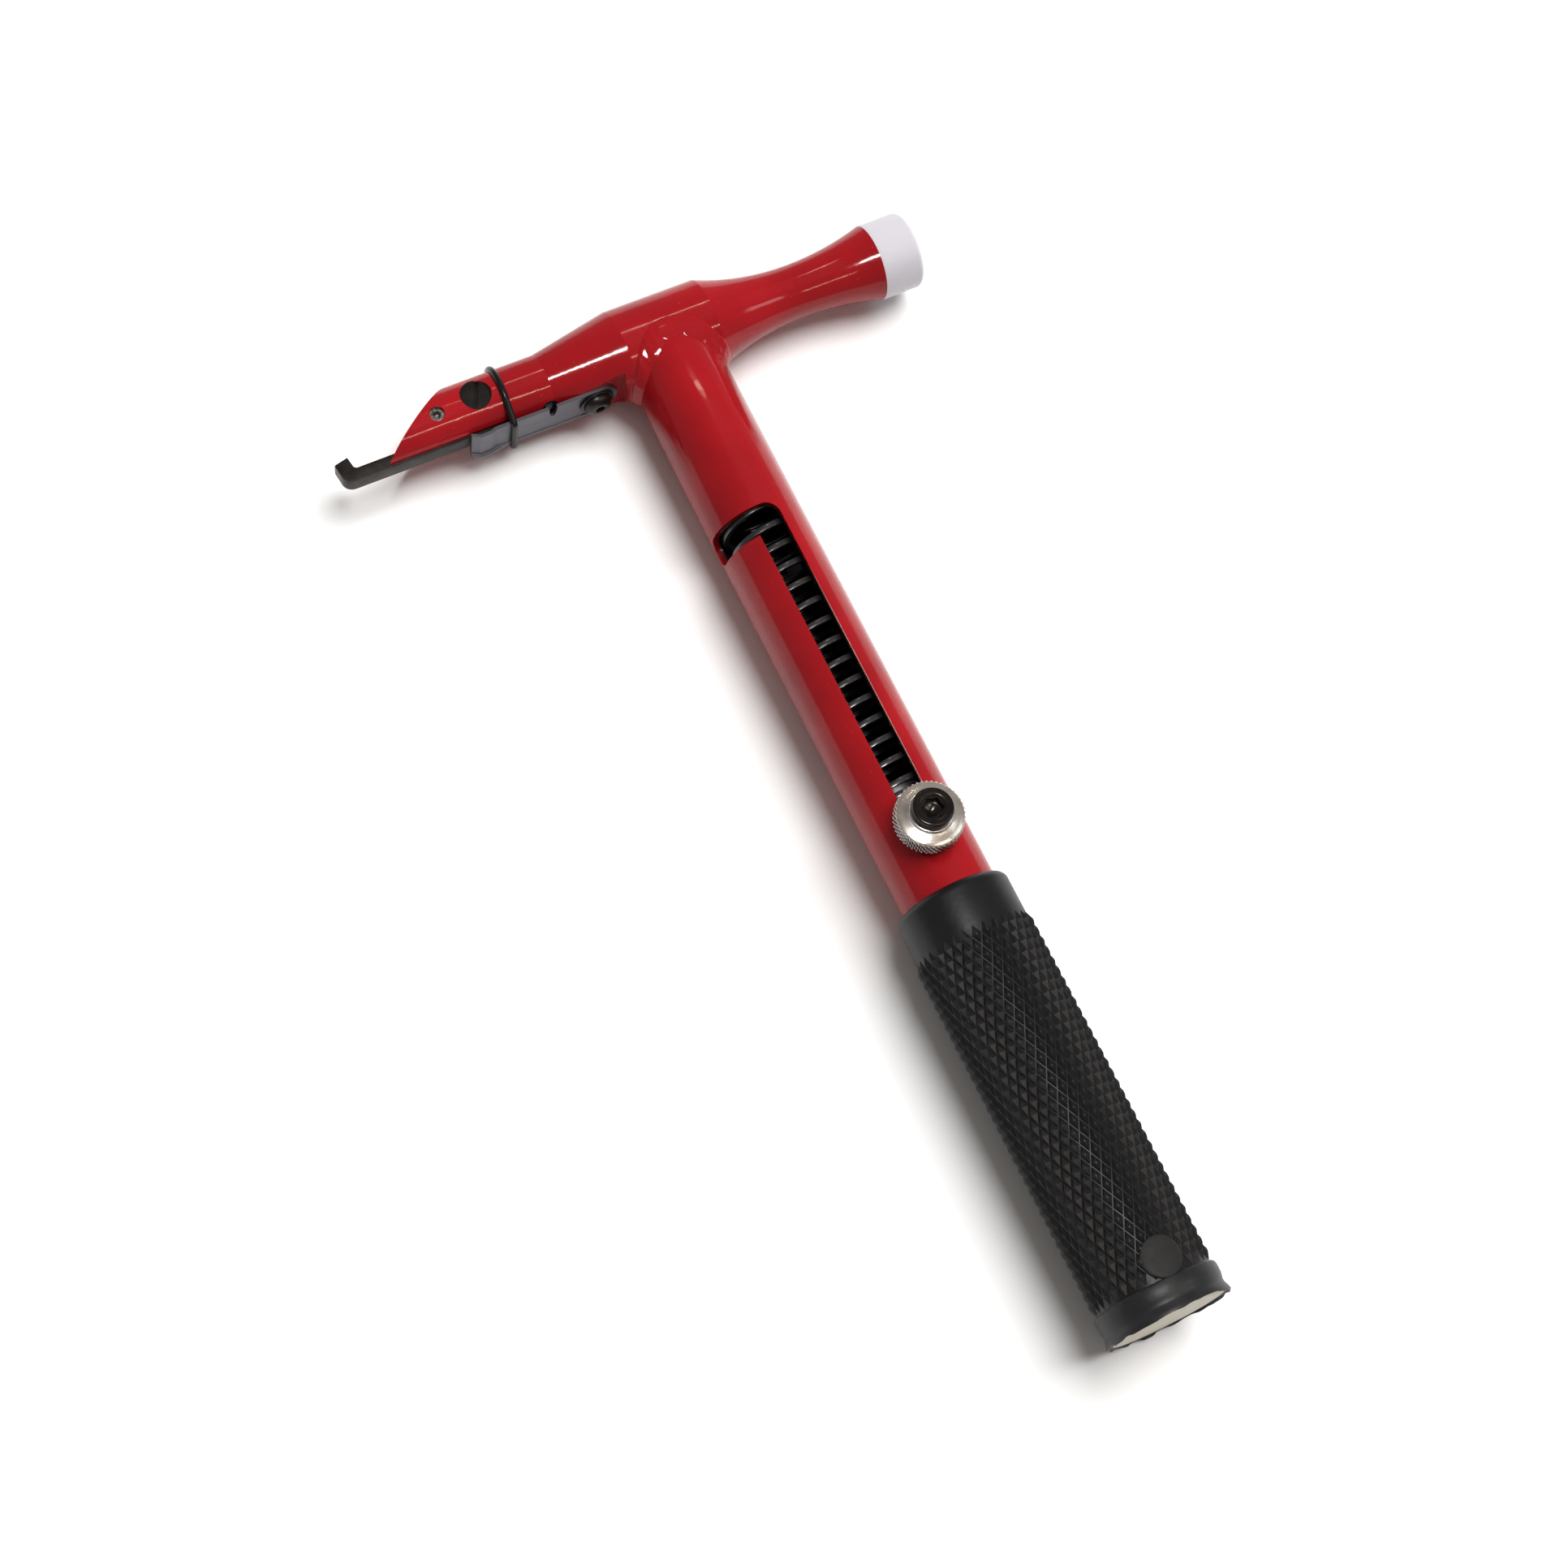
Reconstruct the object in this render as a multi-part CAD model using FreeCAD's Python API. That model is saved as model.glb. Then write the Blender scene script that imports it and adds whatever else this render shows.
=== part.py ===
"""Hook-nosed soft-face hammer with a spring-loaded slider in its handle.

Millimetres.  The head lies along X with the nose at -X and the soft face at +X.
The handle runs along Y with the head at +Y.  The slider's knob faces up, +Z.
Every piece is drawn about the point where the head's axis crosses the handle's,
and export() moves it so that the origin is the bottom centre of the bounding box.
"""
import FreeCAD
import Part
import math
import os

V = FreeCAD.Vector
X_AXIS = V(1, 0, 0)
Y_AXIS = V(0, 1, 0)
Z_AXIS = V(0, 0, 1)

# Head, turned from bar about X
BARREL_R = 12.4
BARREL_HALF = 13.4
NOSE_R = 8.3
CONE_FOOT_X = -34.4
SHOULDER_R = 12.2
SHOULDER_RUN = 0.6
WAIST_R = 7.35
WAIST_X = 40.0
FACE_R = 10.5
HEAD_END_X = 62.8
UNDERSIDE_Y = -7.5
UNDERSIDE_END_X = -46.0
CLIP_SEAT_Y = -8.7
CLIP_SEAT_END_X = -15.2
BEVEL_X = -72.4
BEVEL_Y = -1.3
BEVEL_ANGLE = 35.2

# Soft face
TIP_END_X = 74.5
TIP_EDGE_R = 1.4
SPIGOT_R = 5.0
SPIGOT_LENGTH = 14.0

# Hook blade, a flat bar in a slot through the nose
BLADE_T = 4.76
BLADE_GAP = 0.05
BLADE_BOTTOM_Y = -8.15
BLADE_TOP_Y = -4.7
BLADE_ROOT_X = -46.5
BLADE_ROOT_Y = 3.9
HOOK_TIP_X = -94.3
HOOK_TIP_Y = -1.1
HOOK_TIP_W = 3.9
HOOK_TIP_FALL = 0.9
HOOK_TAPER = 0.4
HOOK_BEND_R = 3.0
THROAT_R = 1.1
BLADE_BEVEL_SETBACK = 1.5

# Screws in the nose
HOOK_SCREW_X = -53.7
HOOK_SCREW_Y = 0.4
HOOK_SCREW_R = 2.5
HOOK_SCREW_HEAD_R = 4.2
HOOK_SCREW_TOP_Z = 7.6
HOOK_SCREW_HEAD_T = 2.7
HOOK_SCREW_END_Z = -7.4
SCREWDRIVER_SLOT_W = 1.2
SCREWDRIVER_SLOT_DEPTH = 1.2
SCREWDRIVER_SLOT_ANGLE = 64.0
SET_SCREW_X = -65.2
SET_SCREW_Y = -1.0
SET_SCREW_R = 2.0
SET_SCREW_TOP_Z = 7.6
SET_SCREW_KEY = 2.0
SET_SCREW_KEY_DEPTH = 2.2

# Leaf clip under the nose
CLIP_T = 1.0
CLIP_NEAR_Z = 4.6
CLIP_FAR_Z = -5.4
CLIP_REAR_X = -17.2
CLIP_STEP_X = -48.6
CLIP_RISE_X = -56.4
CLIP_FRONT_X = -58.8
CLIP_FRONT_Y = -8.2
CLIP_FLANGE_DROP = 1.4
CLIP_FRONT_DROP = 2.2
CLIP_RING_DROP = 0.5
CLIP_RING_END_X = -45.8
CLIP_SCREW_X = -23.3
CLIP_SCREW_R = 2.0
CLIP_HOLE_GAP = 0.1
CLIP_SCREW_END_Y = -1.2
CLIP_NOTCH_X = -35.8
CLIP_NOTCH_R = 1.5
WASHER_R = 4.8
WASHER_T = 0.7
BUTTON_R = 4.0
BUTTON_H = 2.1
BUTTON_KEY = 2.5
BUTTON_KEY_DEPTH = 1.4

# O-ring stretched round the nose and the clip
CORD_R = 0.9
RING_GAP = 0.05
RING_X = -46.8
RING_SKEW = -2.0

# Handle tube and its J-shaped slot
TUBE_R = 12.7
TUBE_WALL = 2.1
TUBE_END_Y = -286.6
SLOT_W = 7.9
SLOT_TOP_Y = -58.9
BRANCH_ANGLE = 82.0
WELD_LEG = 2.2
WELD_TOP_Y = -2.0
WELD_TRIM = 0.3

# Slider
KNOB_Y = -154.6
KNOB_R = 9.05
KNOB_BOTTOM_Z = 13.0
KNOB_TOP_Z = 19.2
KNOB_CHAMFER = 1.3
KNOB_CHAMFER_H = 0.8
KNOB_FOOT_CHAMFER = 0.5
SCREW_R = 3.175
SCREW_HEAD_R = 5.3
SCREW_HEAD_H = 3.3
SCREW_KEY = 4.76
SCREW_KEY_DEPTH = 2.6
SCREW_EDGE_R = 0.8
SCREW_WASHER_R = 5.7
SCREW_WASHER_T = 1.1
SCREW_END_Z = -6.0
STOP_GAP = 0.2
PLUNGER_GAP = 0.3
PLUNGER_HALF = 9.0
PILOT_R = 8.0
PILOT_H = 4.0

# Spring and its upper seat
SEAT_TOP_Y = -12.6
SEAT_T = 4.0
SPRING_R = 10.1
SPRING_WIRE = 1.6
SPRING_PITCH = 5.93
SPRING_END_GAP = 0.02

# Grip and end disc
GRIP_TOP_Y = -171.6
COLLAR_R = 15.3
COLLAR_LENGTH = 12.0
COLLAR_EDGE_R = 2.4
GRIP_R = 16.1
FLANGE_Y = -281.2
FLANGE_R = 16.5
FLANGE_LENGTH = 4.4
LIP_R = 16.8
GRIP_END_Y = -288.6
DISC_R = 16.4
DISC_T = 1.0

TUBE_BORE_R = TUBE_R - TUBE_WALL
PLUNGER_R = TUBE_BORE_R - PLUNGER_GAP
SAG_45 = 1 - math.sqrt(0.5)
CUTTER_R = SLOT_W / 2
BRANCH_Y = SLOT_TOP_Y - CUTTER_R
SLOT_END_Y = KNOB_Y - SCREW_R - STOP_GAP + CUTTER_R
SPRING_TOP_Y = SEAT_TOP_Y - SEAT_T
SPRING_BOTTOM_Y = KNOB_Y + PLUNGER_HALF
CLIP_FACE_Y = CLIP_SEAT_Y - CLIP_T
CLIP_ROUND_X = CLIP_REAR_X - CLIP_NEAR_Z
DISC_END_Y = GRIP_END_Y - DISC_T
ORIGIN = V(
    (HOOK_TIP_X + TIP_END_X) / 2,
    (BARREL_R + DISC_END_Y) / 2,
    -LIP_R,
)


def rod(start, axis, radius, length):
    return Part.makeCylinder(radius, length, start, axis)


def block(x0, x1, y0, y1, z0, z1):
    return Part.makeBox(x1 - x0, y1 - y0, z1 - z0, V(x0, y0, z0))


def face_of(edges):
    return Part.Face(Part.Wire(edges))


def polygon(points):
    return Part.Face(Part.makePolygon(points + points[:1]))


def turned_about_x(edges):
    return face_of(edges).revolve(V(), X_AXIS, 360)


def turned_about_y(edges):
    return face_of(edges).revolve(V(), Y_AXIS, 360)


def chain(points):
    """Straight edges through the points, closed back to the first."""
    return Part.makePolygon(points + points[:1]).Edges


def three_point_arc(a, b, c):
    return Part.Arc(a, b, c).toShape()


def line(a, b):
    return Part.LineSegment(a, b).toShape()


def hex_socket(centre, inward, across_flats, depth):
    """A hexagonal hole cut from a screw's end, inward along an axis."""
    side = V(1, 0, 0) if abs(inward.x) < 0.5 else V(0, 1, 0)
    other = inward.cross(side)
    corner_r = across_flats / math.sqrt(3)
    points = []
    for k in range(6):
        angle = math.radians(60 * k)
        points.append(centre + side * corner_r * math.cos(angle) + other * corner_r * math.sin(angle))
    return polygon(points).extrude(inward * depth)


def edges_near(shape, test):
    return [edge for edge in shape.Edges if test(edge)]


def waist_point(x, radius_of_curve):
    """A point of the concave flare, on an arc about the waist."""
    rise = radius_of_curve - math.sqrt(radius_of_curve ** 2 - (x - WAIST_X) ** 2)
    return V(x, WAIST_R + rise, 0)


def flare_curve_radius(run, rise):
    return (run ** 2 + rise ** 2) / (2 * rise)


def turned_head():
    shoulder_x = BARREL_HALF + SHOULDER_RUN
    rear = flare_curve_radius(WAIST_X - shoulder_x, SHOULDER_R - WAIST_R)
    front = flare_curve_radius(HEAD_END_X - WAIST_X, FACE_R - WAIST_R)
    nose_end_x = BEVEL_X + (UNDERSIDE_Y - 2 - BEVEL_Y) / math.tan(math.radians(BEVEL_ANGLE))
    shoulder = V(shoulder_x, SHOULDER_R, 0)
    waist = V(WAIST_X, WAIST_R, 0)
    face = V(HEAD_END_X, FACE_R, 0)
    outline = [
        line(V(nose_end_x, 0, 0), V(nose_end_x, NOSE_R, 0)),
        line(V(nose_end_x, NOSE_R, 0), V(CONE_FOOT_X, NOSE_R, 0)),
        line(V(CONE_FOOT_X, NOSE_R, 0), V(-BARREL_HALF + 1, BARREL_R, 0)),
        line(V(-BARREL_HALF + 1, BARREL_R, 0), V(BARREL_HALF, BARREL_R, 0)),
        line(V(BARREL_HALF, BARREL_R, 0), shoulder),
        three_point_arc(shoulder, waist_point((shoulder_x + WAIST_X) / 2, rear), waist),
        three_point_arc(waist, waist_point((WAIST_X + HEAD_END_X) / 2, front), face),
        line(face, V(HEAD_END_X, 0, 0)),
        line(V(HEAD_END_X, 0, 0), V(nose_end_x, 0, 0)),
    ]
    return turned_about_x(outline)


def bevel_cut():
    """Everything above the sloping plane that trims the end of the nose."""
    along = V(math.cos(math.radians(BEVEL_ANGLE)), math.sin(math.radians(BEVEL_ANGLE)), 0)
    away = V(-along.y, along.x, 0)
    point = V(BEVEL_X, BEVEL_Y, -20)
    corners = [
        point - along * 40,
        point + along * 30,
        point + along * 30 + away * 40,
        point - along * 40 + away * 40,
    ]
    return polygon(corners).extrude(V(0, 0, 40))


def head_body():
    head = turned_head()
    head = head.cut(bevel_cut())
    head = head.cut(block(-100, UNDERSIDE_END_X, -20, UNDERSIDE_Y, -20, 20))
    head = head.cut(block(-100, CLIP_SEAT_END_X, -20, CLIP_SEAT_Y, -20, 20))
    half = BLADE_T / 2 + BLADE_GAP
    head = head.cut(block(-100, BLADE_ROOT_X + 1, -20, BLADE_ROOT_Y + 1, -half, half))
    head = head.cut(rod(V(HOOK_SCREW_X, HOOK_SCREW_Y, -NOSE_R - 1), Z_AXIS, HOOK_SCREW_R, 2 * NOSE_R + 2))
    seat_z = HOOK_SCREW_TOP_Z - HOOK_SCREW_HEAD_T
    head = head.cut(rod(V(HOOK_SCREW_X, HOOK_SCREW_Y, seat_z), Z_AXIS, HOOK_SCREW_HEAD_R, NOSE_R))
    head = head.cut(rod(V(SET_SCREW_X, SET_SCREW_Y, 0), Z_AXIS, SET_SCREW_R, NOSE_R + 1))
    head = head.cut(rod(V(CLIP_SCREW_X, -20, 0), Y_AXIS, CLIP_SCREW_R, 20 + CLIP_SCREW_END_Y + 0.5))
    return head.cut(rod(V(HEAD_END_X - SPIGOT_LENGTH, 0, 0), X_AXIS, SPIGOT_R, SPIGOT_LENGTH + 1))


def striking_tip():
    disc = rod(V(HEAD_END_X, 0, 0), X_AXIS, FACE_R, TIP_END_X - HEAD_END_X)
    rim = edges_near(disc, lambda e: abs(e.CenterOfMass.x - TIP_END_X) < 0.01)
    disc = disc.makeFillet(TIP_EDGE_R, rim)
    spigot = rod(V(HEAD_END_X - SPIGOT_LENGTH + 1, 0, 0), X_AXIS, SPIGOT_R, SPIGOT_LENGTH)
    return disc.fuse(spigot).removeSplitter()


def hook_outline():
    tip_right_x = HOOK_TIP_X + HOOK_TIP_W
    throat_x = tip_right_x + HOOK_TAPER
    left_foot = V(HOOK_TIP_X + HOOK_TAPER, BLADE_BOTTOM_Y + HOOK_BEND_R, 0)
    bend_mid = V(left_foot.x + HOOK_BEND_R * SAG_45, BLADE_BOTTOM_Y + HOOK_BEND_R * SAG_45, 0)
    bend_end = V(left_foot.x + HOOK_BEND_R, BLADE_BOTTOM_Y, 0)
    throat_top = V(throat_x, BLADE_TOP_Y + THROAT_R, 0)
    throat_mid = V(throat_x + THROAT_R * SAG_45, BLADE_TOP_Y + THROAT_R * SAG_45, 0)
    throat_end = V(throat_x + THROAT_R, BLADE_TOP_Y, 0)
    slope = math.tan(math.radians(BEVEL_ANGLE))
    climb_x = BEVEL_X + BLADE_BEVEL_SETBACK + (BLADE_TOP_Y - BEVEL_Y) / slope
    crest_x = BEVEL_X + BLADE_BEVEL_SETBACK + (BLADE_ROOT_Y - BEVEL_Y) / slope
    tip_left = V(HOOK_TIP_X, HOOK_TIP_Y - HOOK_TIP_FALL, 0)
    tip_right = V(tip_right_x, HOOK_TIP_Y, 0)
    path = [
        throat_end,
        V(climb_x, BLADE_TOP_Y, 0),
        V(crest_x, BLADE_ROOT_Y, 0),
        V(BLADE_ROOT_X, BLADE_ROOT_Y, 0),
        V(BLADE_ROOT_X, BLADE_BOTTOM_Y, 0),
        bend_end,
    ]
    edges = [line(a, b) for a, b in zip(path, path[1:])]
    edges.append(three_point_arc(bend_end, bend_mid, left_foot))
    edges.append(line(left_foot, tip_left))
    edges.append(line(tip_left, tip_right))
    edges.append(line(tip_right, throat_top))
    edges.append(three_point_arc(throat_top, throat_mid, throat_end))
    return edges


def hook_blade():
    blade = face_of(hook_outline()).extrude(V(0, 0, BLADE_T))
    blade.translate(V(0, 0, -BLADE_T / 2))
    return blade.cut(rod(V(HOOK_SCREW_X, HOOK_SCREW_Y, -BLADE_T), Z_AXIS, HOOK_SCREW_R, 2 * BLADE_T))


def hook_screw():
    seat_z = HOOK_SCREW_TOP_Z - HOOK_SCREW_HEAD_T
    centre = V(HOOK_SCREW_X, HOOK_SCREW_Y, 0)
    head = rod(centre + V(0, 0, seat_z), Z_AXIS, HOOK_SCREW_HEAD_R, HOOK_SCREW_HEAD_T)
    shank = rod(centre + V(0, 0, HOOK_SCREW_END_Z), Z_AXIS, HOOK_SCREW_R, seat_z - HOOK_SCREW_END_Z)
    screw = head.fuse(shank)
    half = SCREWDRIVER_SLOT_W / 2
    slot_z = HOOK_SCREW_TOP_Z - SCREWDRIVER_SLOT_DEPTH
    slot = block(-6, 6, -half, half, slot_z, HOOK_SCREW_TOP_Z + 1)
    slot.rotate(V(), Z_AXIS, SCREWDRIVER_SLOT_ANGLE)
    slot.translate(centre)
    return screw.cut(slot).removeSplitter()


def hook_set_screw():
    foot_z = BLADE_T / 2
    foot = V(SET_SCREW_X, SET_SCREW_Y, foot_z)
    screw = rod(foot, Z_AXIS, SET_SCREW_R, SET_SCREW_TOP_Z - foot_z)
    top = V(SET_SCREW_X, SET_SCREW_Y, SET_SCREW_TOP_Z)
    return screw.cut(hex_socket(top, V(0, 0, -1), SET_SCREW_KEY, SET_SCREW_KEY_DEPTH))


def clip_plate():
    """The clip's leaf, flat on its seat and bent up to the blade at its front end."""
    inner = [
        V(CLIP_REAR_X, CLIP_SEAT_Y, CLIP_FAR_Z),
        V(CLIP_RISE_X, CLIP_SEAT_Y, CLIP_FAR_Z),
        V(CLIP_FRONT_X, CLIP_FRONT_Y, CLIP_FAR_Z),
    ]
    outer = [V(p.x, p.y - CLIP_T, p.z) for p in reversed(inner)]
    return polygon(inner + outer).extrude(V(0, 0, CLIP_NEAR_Z - CLIP_FAR_Z))


def clip_flange():
    """The turned-down edge that stiffens the clip, with a low place for the ring."""
    back_z = CLIP_FAR_Z - CLIP_T
    spans = (
        (CLIP_RISE_X, CLIP_STEP_X, CLIP_FRONT_DROP),
        (CLIP_STEP_X, CLIP_RING_END_X, CLIP_RING_DROP),
        (CLIP_RING_END_X, CLIP_ROUND_X, CLIP_FLANGE_DROP),
    )
    parts = [block(x0, x1, CLIP_FACE_Y - drop, CLIP_SEAT_Y, back_z, CLIP_FAR_Z) for x0, x1, drop in spans]
    return parts[0].fuse(parts[1:])


def spring_clip():
    clip = clip_plate().fuse(clip_flange())
    rear = rod(V(CLIP_ROUND_X, -20, 0), Y_AXIS, CLIP_NEAR_Z, 20)
    keep = block(-100, CLIP_ROUND_X, -20, 0, CLIP_FAR_Z - CLIP_T, CLIP_NEAR_Z)
    clip = clip.common(keep.fuse(rear))
    clip = clip.cut(rod(V(CLIP_SCREW_X, -20, 0), Y_AXIS, CLIP_SCREW_R + CLIP_HOLE_GAP, 20))
    clip = clip.cut(rod(V(CLIP_NOTCH_X, -20, CLIP_NEAR_Z), Y_AXIS, CLIP_NOTCH_R, 20))
    return clip.removeSplitter()


def clip_washer():
    washer = rod(V(CLIP_SCREW_X, CLIP_FACE_Y - WASHER_T, 0), Y_AXIS, WASHER_R, WASHER_T)
    return washer.cut(rod(V(CLIP_SCREW_X, -20, 0), Y_AXIS, CLIP_SCREW_R + CLIP_HOLE_GAP, 20))


def clip_screw():
    under_y = CLIP_FACE_Y - WASHER_T
    top_y = under_y - BUTTON_H
    flat_r = BUTTON_R * 0.55
    dome_mid = V(BUTTON_R * 0.86, under_y - BUTTON_H * 0.66, 0)
    outline = [
        line(V(0, under_y, 0), V(BUTTON_R, under_y, 0)),
        three_point_arc(V(BUTTON_R, under_y, 0), dome_mid, V(flat_r, top_y, 0)),
        line(V(flat_r, top_y, 0), V(0, top_y, 0)),
        line(V(0, top_y, 0), V(0, under_y, 0)),
    ]
    head = turned_about_y(outline)
    shank = rod(V(0, under_y, 0), Y_AXIS, CLIP_SCREW_R, CLIP_SCREW_END_Y - under_y)
    screw = head.fuse(shank)
    screw = screw.cut(hex_socket(V(0, top_y, 0), Y_AXIS, BUTTON_KEY, BUTTON_KEY_DEPTH))
    screw.translate(V(CLIP_SCREW_X, 0, 0))
    return screw.removeSplitter()


def ring_path():
    """The ring's centre line in the YZ plane: round the nose, then round the clip's two corners."""
    bend = 2 * CORD_R
    inset = (CORD_R - RING_GAP) / math.sqrt(2)
    circles = [
        (0.0, 0.0, NOSE_R + CORD_R + RING_GAP),
        (CLIP_FAR_Z - CLIP_T + inset, CLIP_FACE_Y - CLIP_RING_DROP + inset, bend),
        (CLIP_NEAR_Z - inset, CLIP_FACE_Y + inset, bend),
    ]
    tangents = []
    for (z0, y0, r0), (z1, y1, r1) in zip(circles, circles[1:] + circles[:1]):
        gap = math.hypot(z1 - z0, y1 - y0)
        heading = math.atan2(y1 - y0, z1 - z0)
        normal = heading - math.acos((r0 - r1) / gap)
        start = (z0 + r0 * math.cos(normal), y0 + r0 * math.sin(normal))
        end = (z1 + r1 * math.cos(normal), y1 + r1 * math.sin(normal))
        tangents.append((start, end, normal))
    edges = []
    for k, (z, y, r) in enumerate(circles):
        arrive = tangents[k - 1]
        leave = tangents[k]
        turn = (leave[2] - arrive[2]) % (2 * math.pi)
        middle = arrive[2] + turn / 2
        a = V(0, arrive[1][1], arrive[1][0])
        b = V(0, y + r * math.sin(middle), z + r * math.cos(middle))
        c = V(0, leave[0][1], leave[0][0])
        edges.append(three_point_arc(a, b, c))
        edges.append(line(c, V(0, leave[1][1], leave[1][0])))
    return edges


def retaining_ring():
    wire = Part.Wire(Part.sortEdges(ring_path())[0])
    start = wire.Edges[0]
    point = start.valueAt(start.FirstParameter)
    tangent = start.tangentAt(start.FirstParameter)
    circle = Part.Wire(Part.makeCircle(CORD_R, point, tangent))
    ring = wire.makePipeShell([circle], True, True)
    ring.rotate(V(), Z_AXIS, RING_SKEW)
    ring.translate(V(RING_X, 0, 0))
    return ring


def radial_cutter(y, angle):
    """A round cutter through one wall of the tube, turned from +Z towards the nose."""
    outward = V(-math.sin(math.radians(angle)), 0, math.cos(math.radians(angle)))
    return rod(V(0, y, 0) + outward * 6, outward, CUTTER_R, 10)


def j_slot():
    leg = block(-CUTTER_R, CUTTER_R, SLOT_END_Y, BRANCH_Y, 6, 16)
    profile = polygon([
        V(0, BRANCH_Y - CUTTER_R, 6),
        V(0, BRANCH_Y + CUTTER_R, 6),
        V(0, BRANCH_Y + CUTTER_R, 16),
        V(0, BRANCH_Y - CUTTER_R, 16),
    ])
    branch = profile.revolve(V(), V(0, -1, 0), BRANCH_ANGLE)
    slot = leg.fuse(branch)
    for y, angle in ((BRANCH_Y, 0), (BRANCH_Y, BRANCH_ANGLE), (SLOT_END_Y, 0)):
        slot = slot.fuse(radial_cutter(y, angle))
    return slot


def handle_tube():
    tube = rod(V(0, TUBE_END_Y, 0), Y_AXIS, TUBE_R, -TUBE_END_Y)
    tube = tube.cut(rod(V(0, TUBE_END_Y - 1, 0), Y_AXIS, TUBE_BORE_R, 2 - TUBE_END_Y))
    tube = tube.cut(rod(V(-30, 0, 0), X_AXIS, BARREL_R, 60))
    return tube.cut(j_slot())


def weld_bead():
    """The fillet where the tube meets the head's barrel."""
    reach = rod(V(0, WELD_TOP_Y - 22, 0), Y_AXIS, TUBE_R + WELD_LEG, 22)
    sleeve = rod(V(-20, 0, 0), X_AXIS, BARREL_R + WELD_LEG, 40)
    bead = reach.common(sleeve)
    bead = bead.cut(rod(V(0, -30, 0), Y_AXIS, TUBE_R, 40))
    bead = bead.cut(turned_head())
    return bead.cut(block(-40, CLIP_SEAT_END_X + WELD_TRIM, -40, CLIP_SEAT_Y, -20, 20))


def spring_seat():
    disc = rod(V(0, SPRING_TOP_Y, 0), Y_AXIS, PLUNGER_R, SEAT_T)
    return disc.fuse(rod(V(0, SPRING_TOP_Y - PILOT_H, 0), Y_AXIS, PILOT_R, PILOT_H)).removeSplitter()


def slider_plunger():
    body = rod(V(0, KNOB_Y - PLUNGER_HALF, 0), Y_AXIS, PLUNGER_R, 2 * PLUNGER_HALF)
    body = body.fuse(rod(V(0, SPRING_BOTTOM_Y, 0), Y_AXIS, PILOT_R, PILOT_H))
    return body.cut(rod(V(0, KNOB_Y, SCREW_END_Z), Z_AXIS, SCREW_R, 20)).removeSplitter()


def knob():
    top_r = KNOB_R - KNOB_CHAMFER
    foot_r = KNOB_R - KNOB_FOOT_CHAMFER
    outline = chain([
        V(SCREW_R, KNOB_BOTTOM_Z, 0),
        V(foot_r, KNOB_BOTTOM_Z, 0),
        V(KNOB_R, KNOB_BOTTOM_Z + KNOB_FOOT_CHAMFER, 0),
        V(KNOB_R, KNOB_TOP_Z - KNOB_CHAMFER_H, 0),
        V(top_r, KNOB_TOP_Z, 0),
        V(SCREW_R, KNOB_TOP_Z, 0),
    ])
    body = turned_about_y(outline)
    body.rotate(V(), X_AXIS, 90)
    body.translate(V(0, KNOB_Y, 0))
    return body


def screw_washer():
    washer = rod(V(0, KNOB_Y, KNOB_TOP_Z), Z_AXIS, SCREW_WASHER_R, SCREW_WASHER_T)
    return washer.cut(rod(V(0, KNOB_Y, KNOB_TOP_Z - 1), Z_AXIS, SCREW_R, 5))


def knob_screw():
    under_z = KNOB_TOP_Z + SCREW_WASHER_T
    top_z = under_z + SCREW_HEAD_H
    shank = rod(V(0, KNOB_Y, SCREW_END_Z), Z_AXIS, SCREW_R, under_z - SCREW_END_Z)
    head = rod(V(0, KNOB_Y, under_z), Z_AXIS, SCREW_HEAD_R, SCREW_HEAD_H)
    rim = edges_near(head, lambda e: abs(e.CenterOfMass.z - top_z) < 0.01)
    head = head.makeFillet(SCREW_EDGE_R, rim)
    screw = head.fuse(shank).removeSplitter()
    return screw.cut(hex_socket(V(0, KNOB_Y, top_z), V(0, 0, -1), SCREW_KEY, SCREW_KEY_DEPTH))


def return_spring():
    """Square wire wound on a helix between the seat and the plunger."""
    half = SPRING_WIRE / 2
    height = SPRING_TOP_Y - SPRING_BOTTOM_Y - SPRING_WIRE - 2 * SPRING_END_GAP
    centre_r = SPRING_R - half
    helix = Part.makeHelix(SPRING_PITCH, height, centre_r)
    square = Part.makePolygon([
        V(centre_r - half, 0, -half),
        V(centre_r + half, 0, -half),
        V(centre_r + half, 0, half),
        V(centre_r - half, 0, half),
        V(centre_r - half, 0, -half),
    ])
    spring = Part.Wire(helix.Edges).makePipeShell([square], True, True)
    spring.rotate(V(), X_AXIS, -90)
    spring.translate(V(0, SPRING_BOTTOM_Y + half + SPRING_END_GAP, 0))
    return spring


def grip():
    top = GRIP_TOP_Y
    knurl_top = top - COLLAR_LENGTH
    edge = COLLAR_EDGE_R
    bend = edge * SAG_45
    outline = [
        line(V(0, TUBE_END_Y, 0), V(TUBE_R, TUBE_END_Y, 0)),
        line(V(TUBE_R, TUBE_END_Y, 0), V(TUBE_R, top, 0)),
        line(V(TUBE_R, top, 0), V(COLLAR_R - edge, top, 0)),
        three_point_arc(
            V(COLLAR_R - edge, top, 0),
            V(COLLAR_R - bend, top - bend, 0),
            V(COLLAR_R, top - edge, 0),
        ),
    ]
    path = [
        V(COLLAR_R, top - edge, 0),
        V(COLLAR_R, knurl_top, 0),
        V(GRIP_R, knurl_top - 1, 0),
        V(GRIP_R, FLANGE_Y, 0),
        V(FLANGE_R, FLANGE_Y - 1, 0),
        V(FLANGE_R, FLANGE_Y - FLANGE_LENGTH, 0),
        V(LIP_R, GRIP_END_Y, 0),
        V(0, GRIP_END_Y, 0),
        V(0, TUBE_END_Y, 0),
    ]
    outline += [line(a, b) for a, b in zip(path, path[1:])]
    return turned_about_y(outline)


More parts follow.
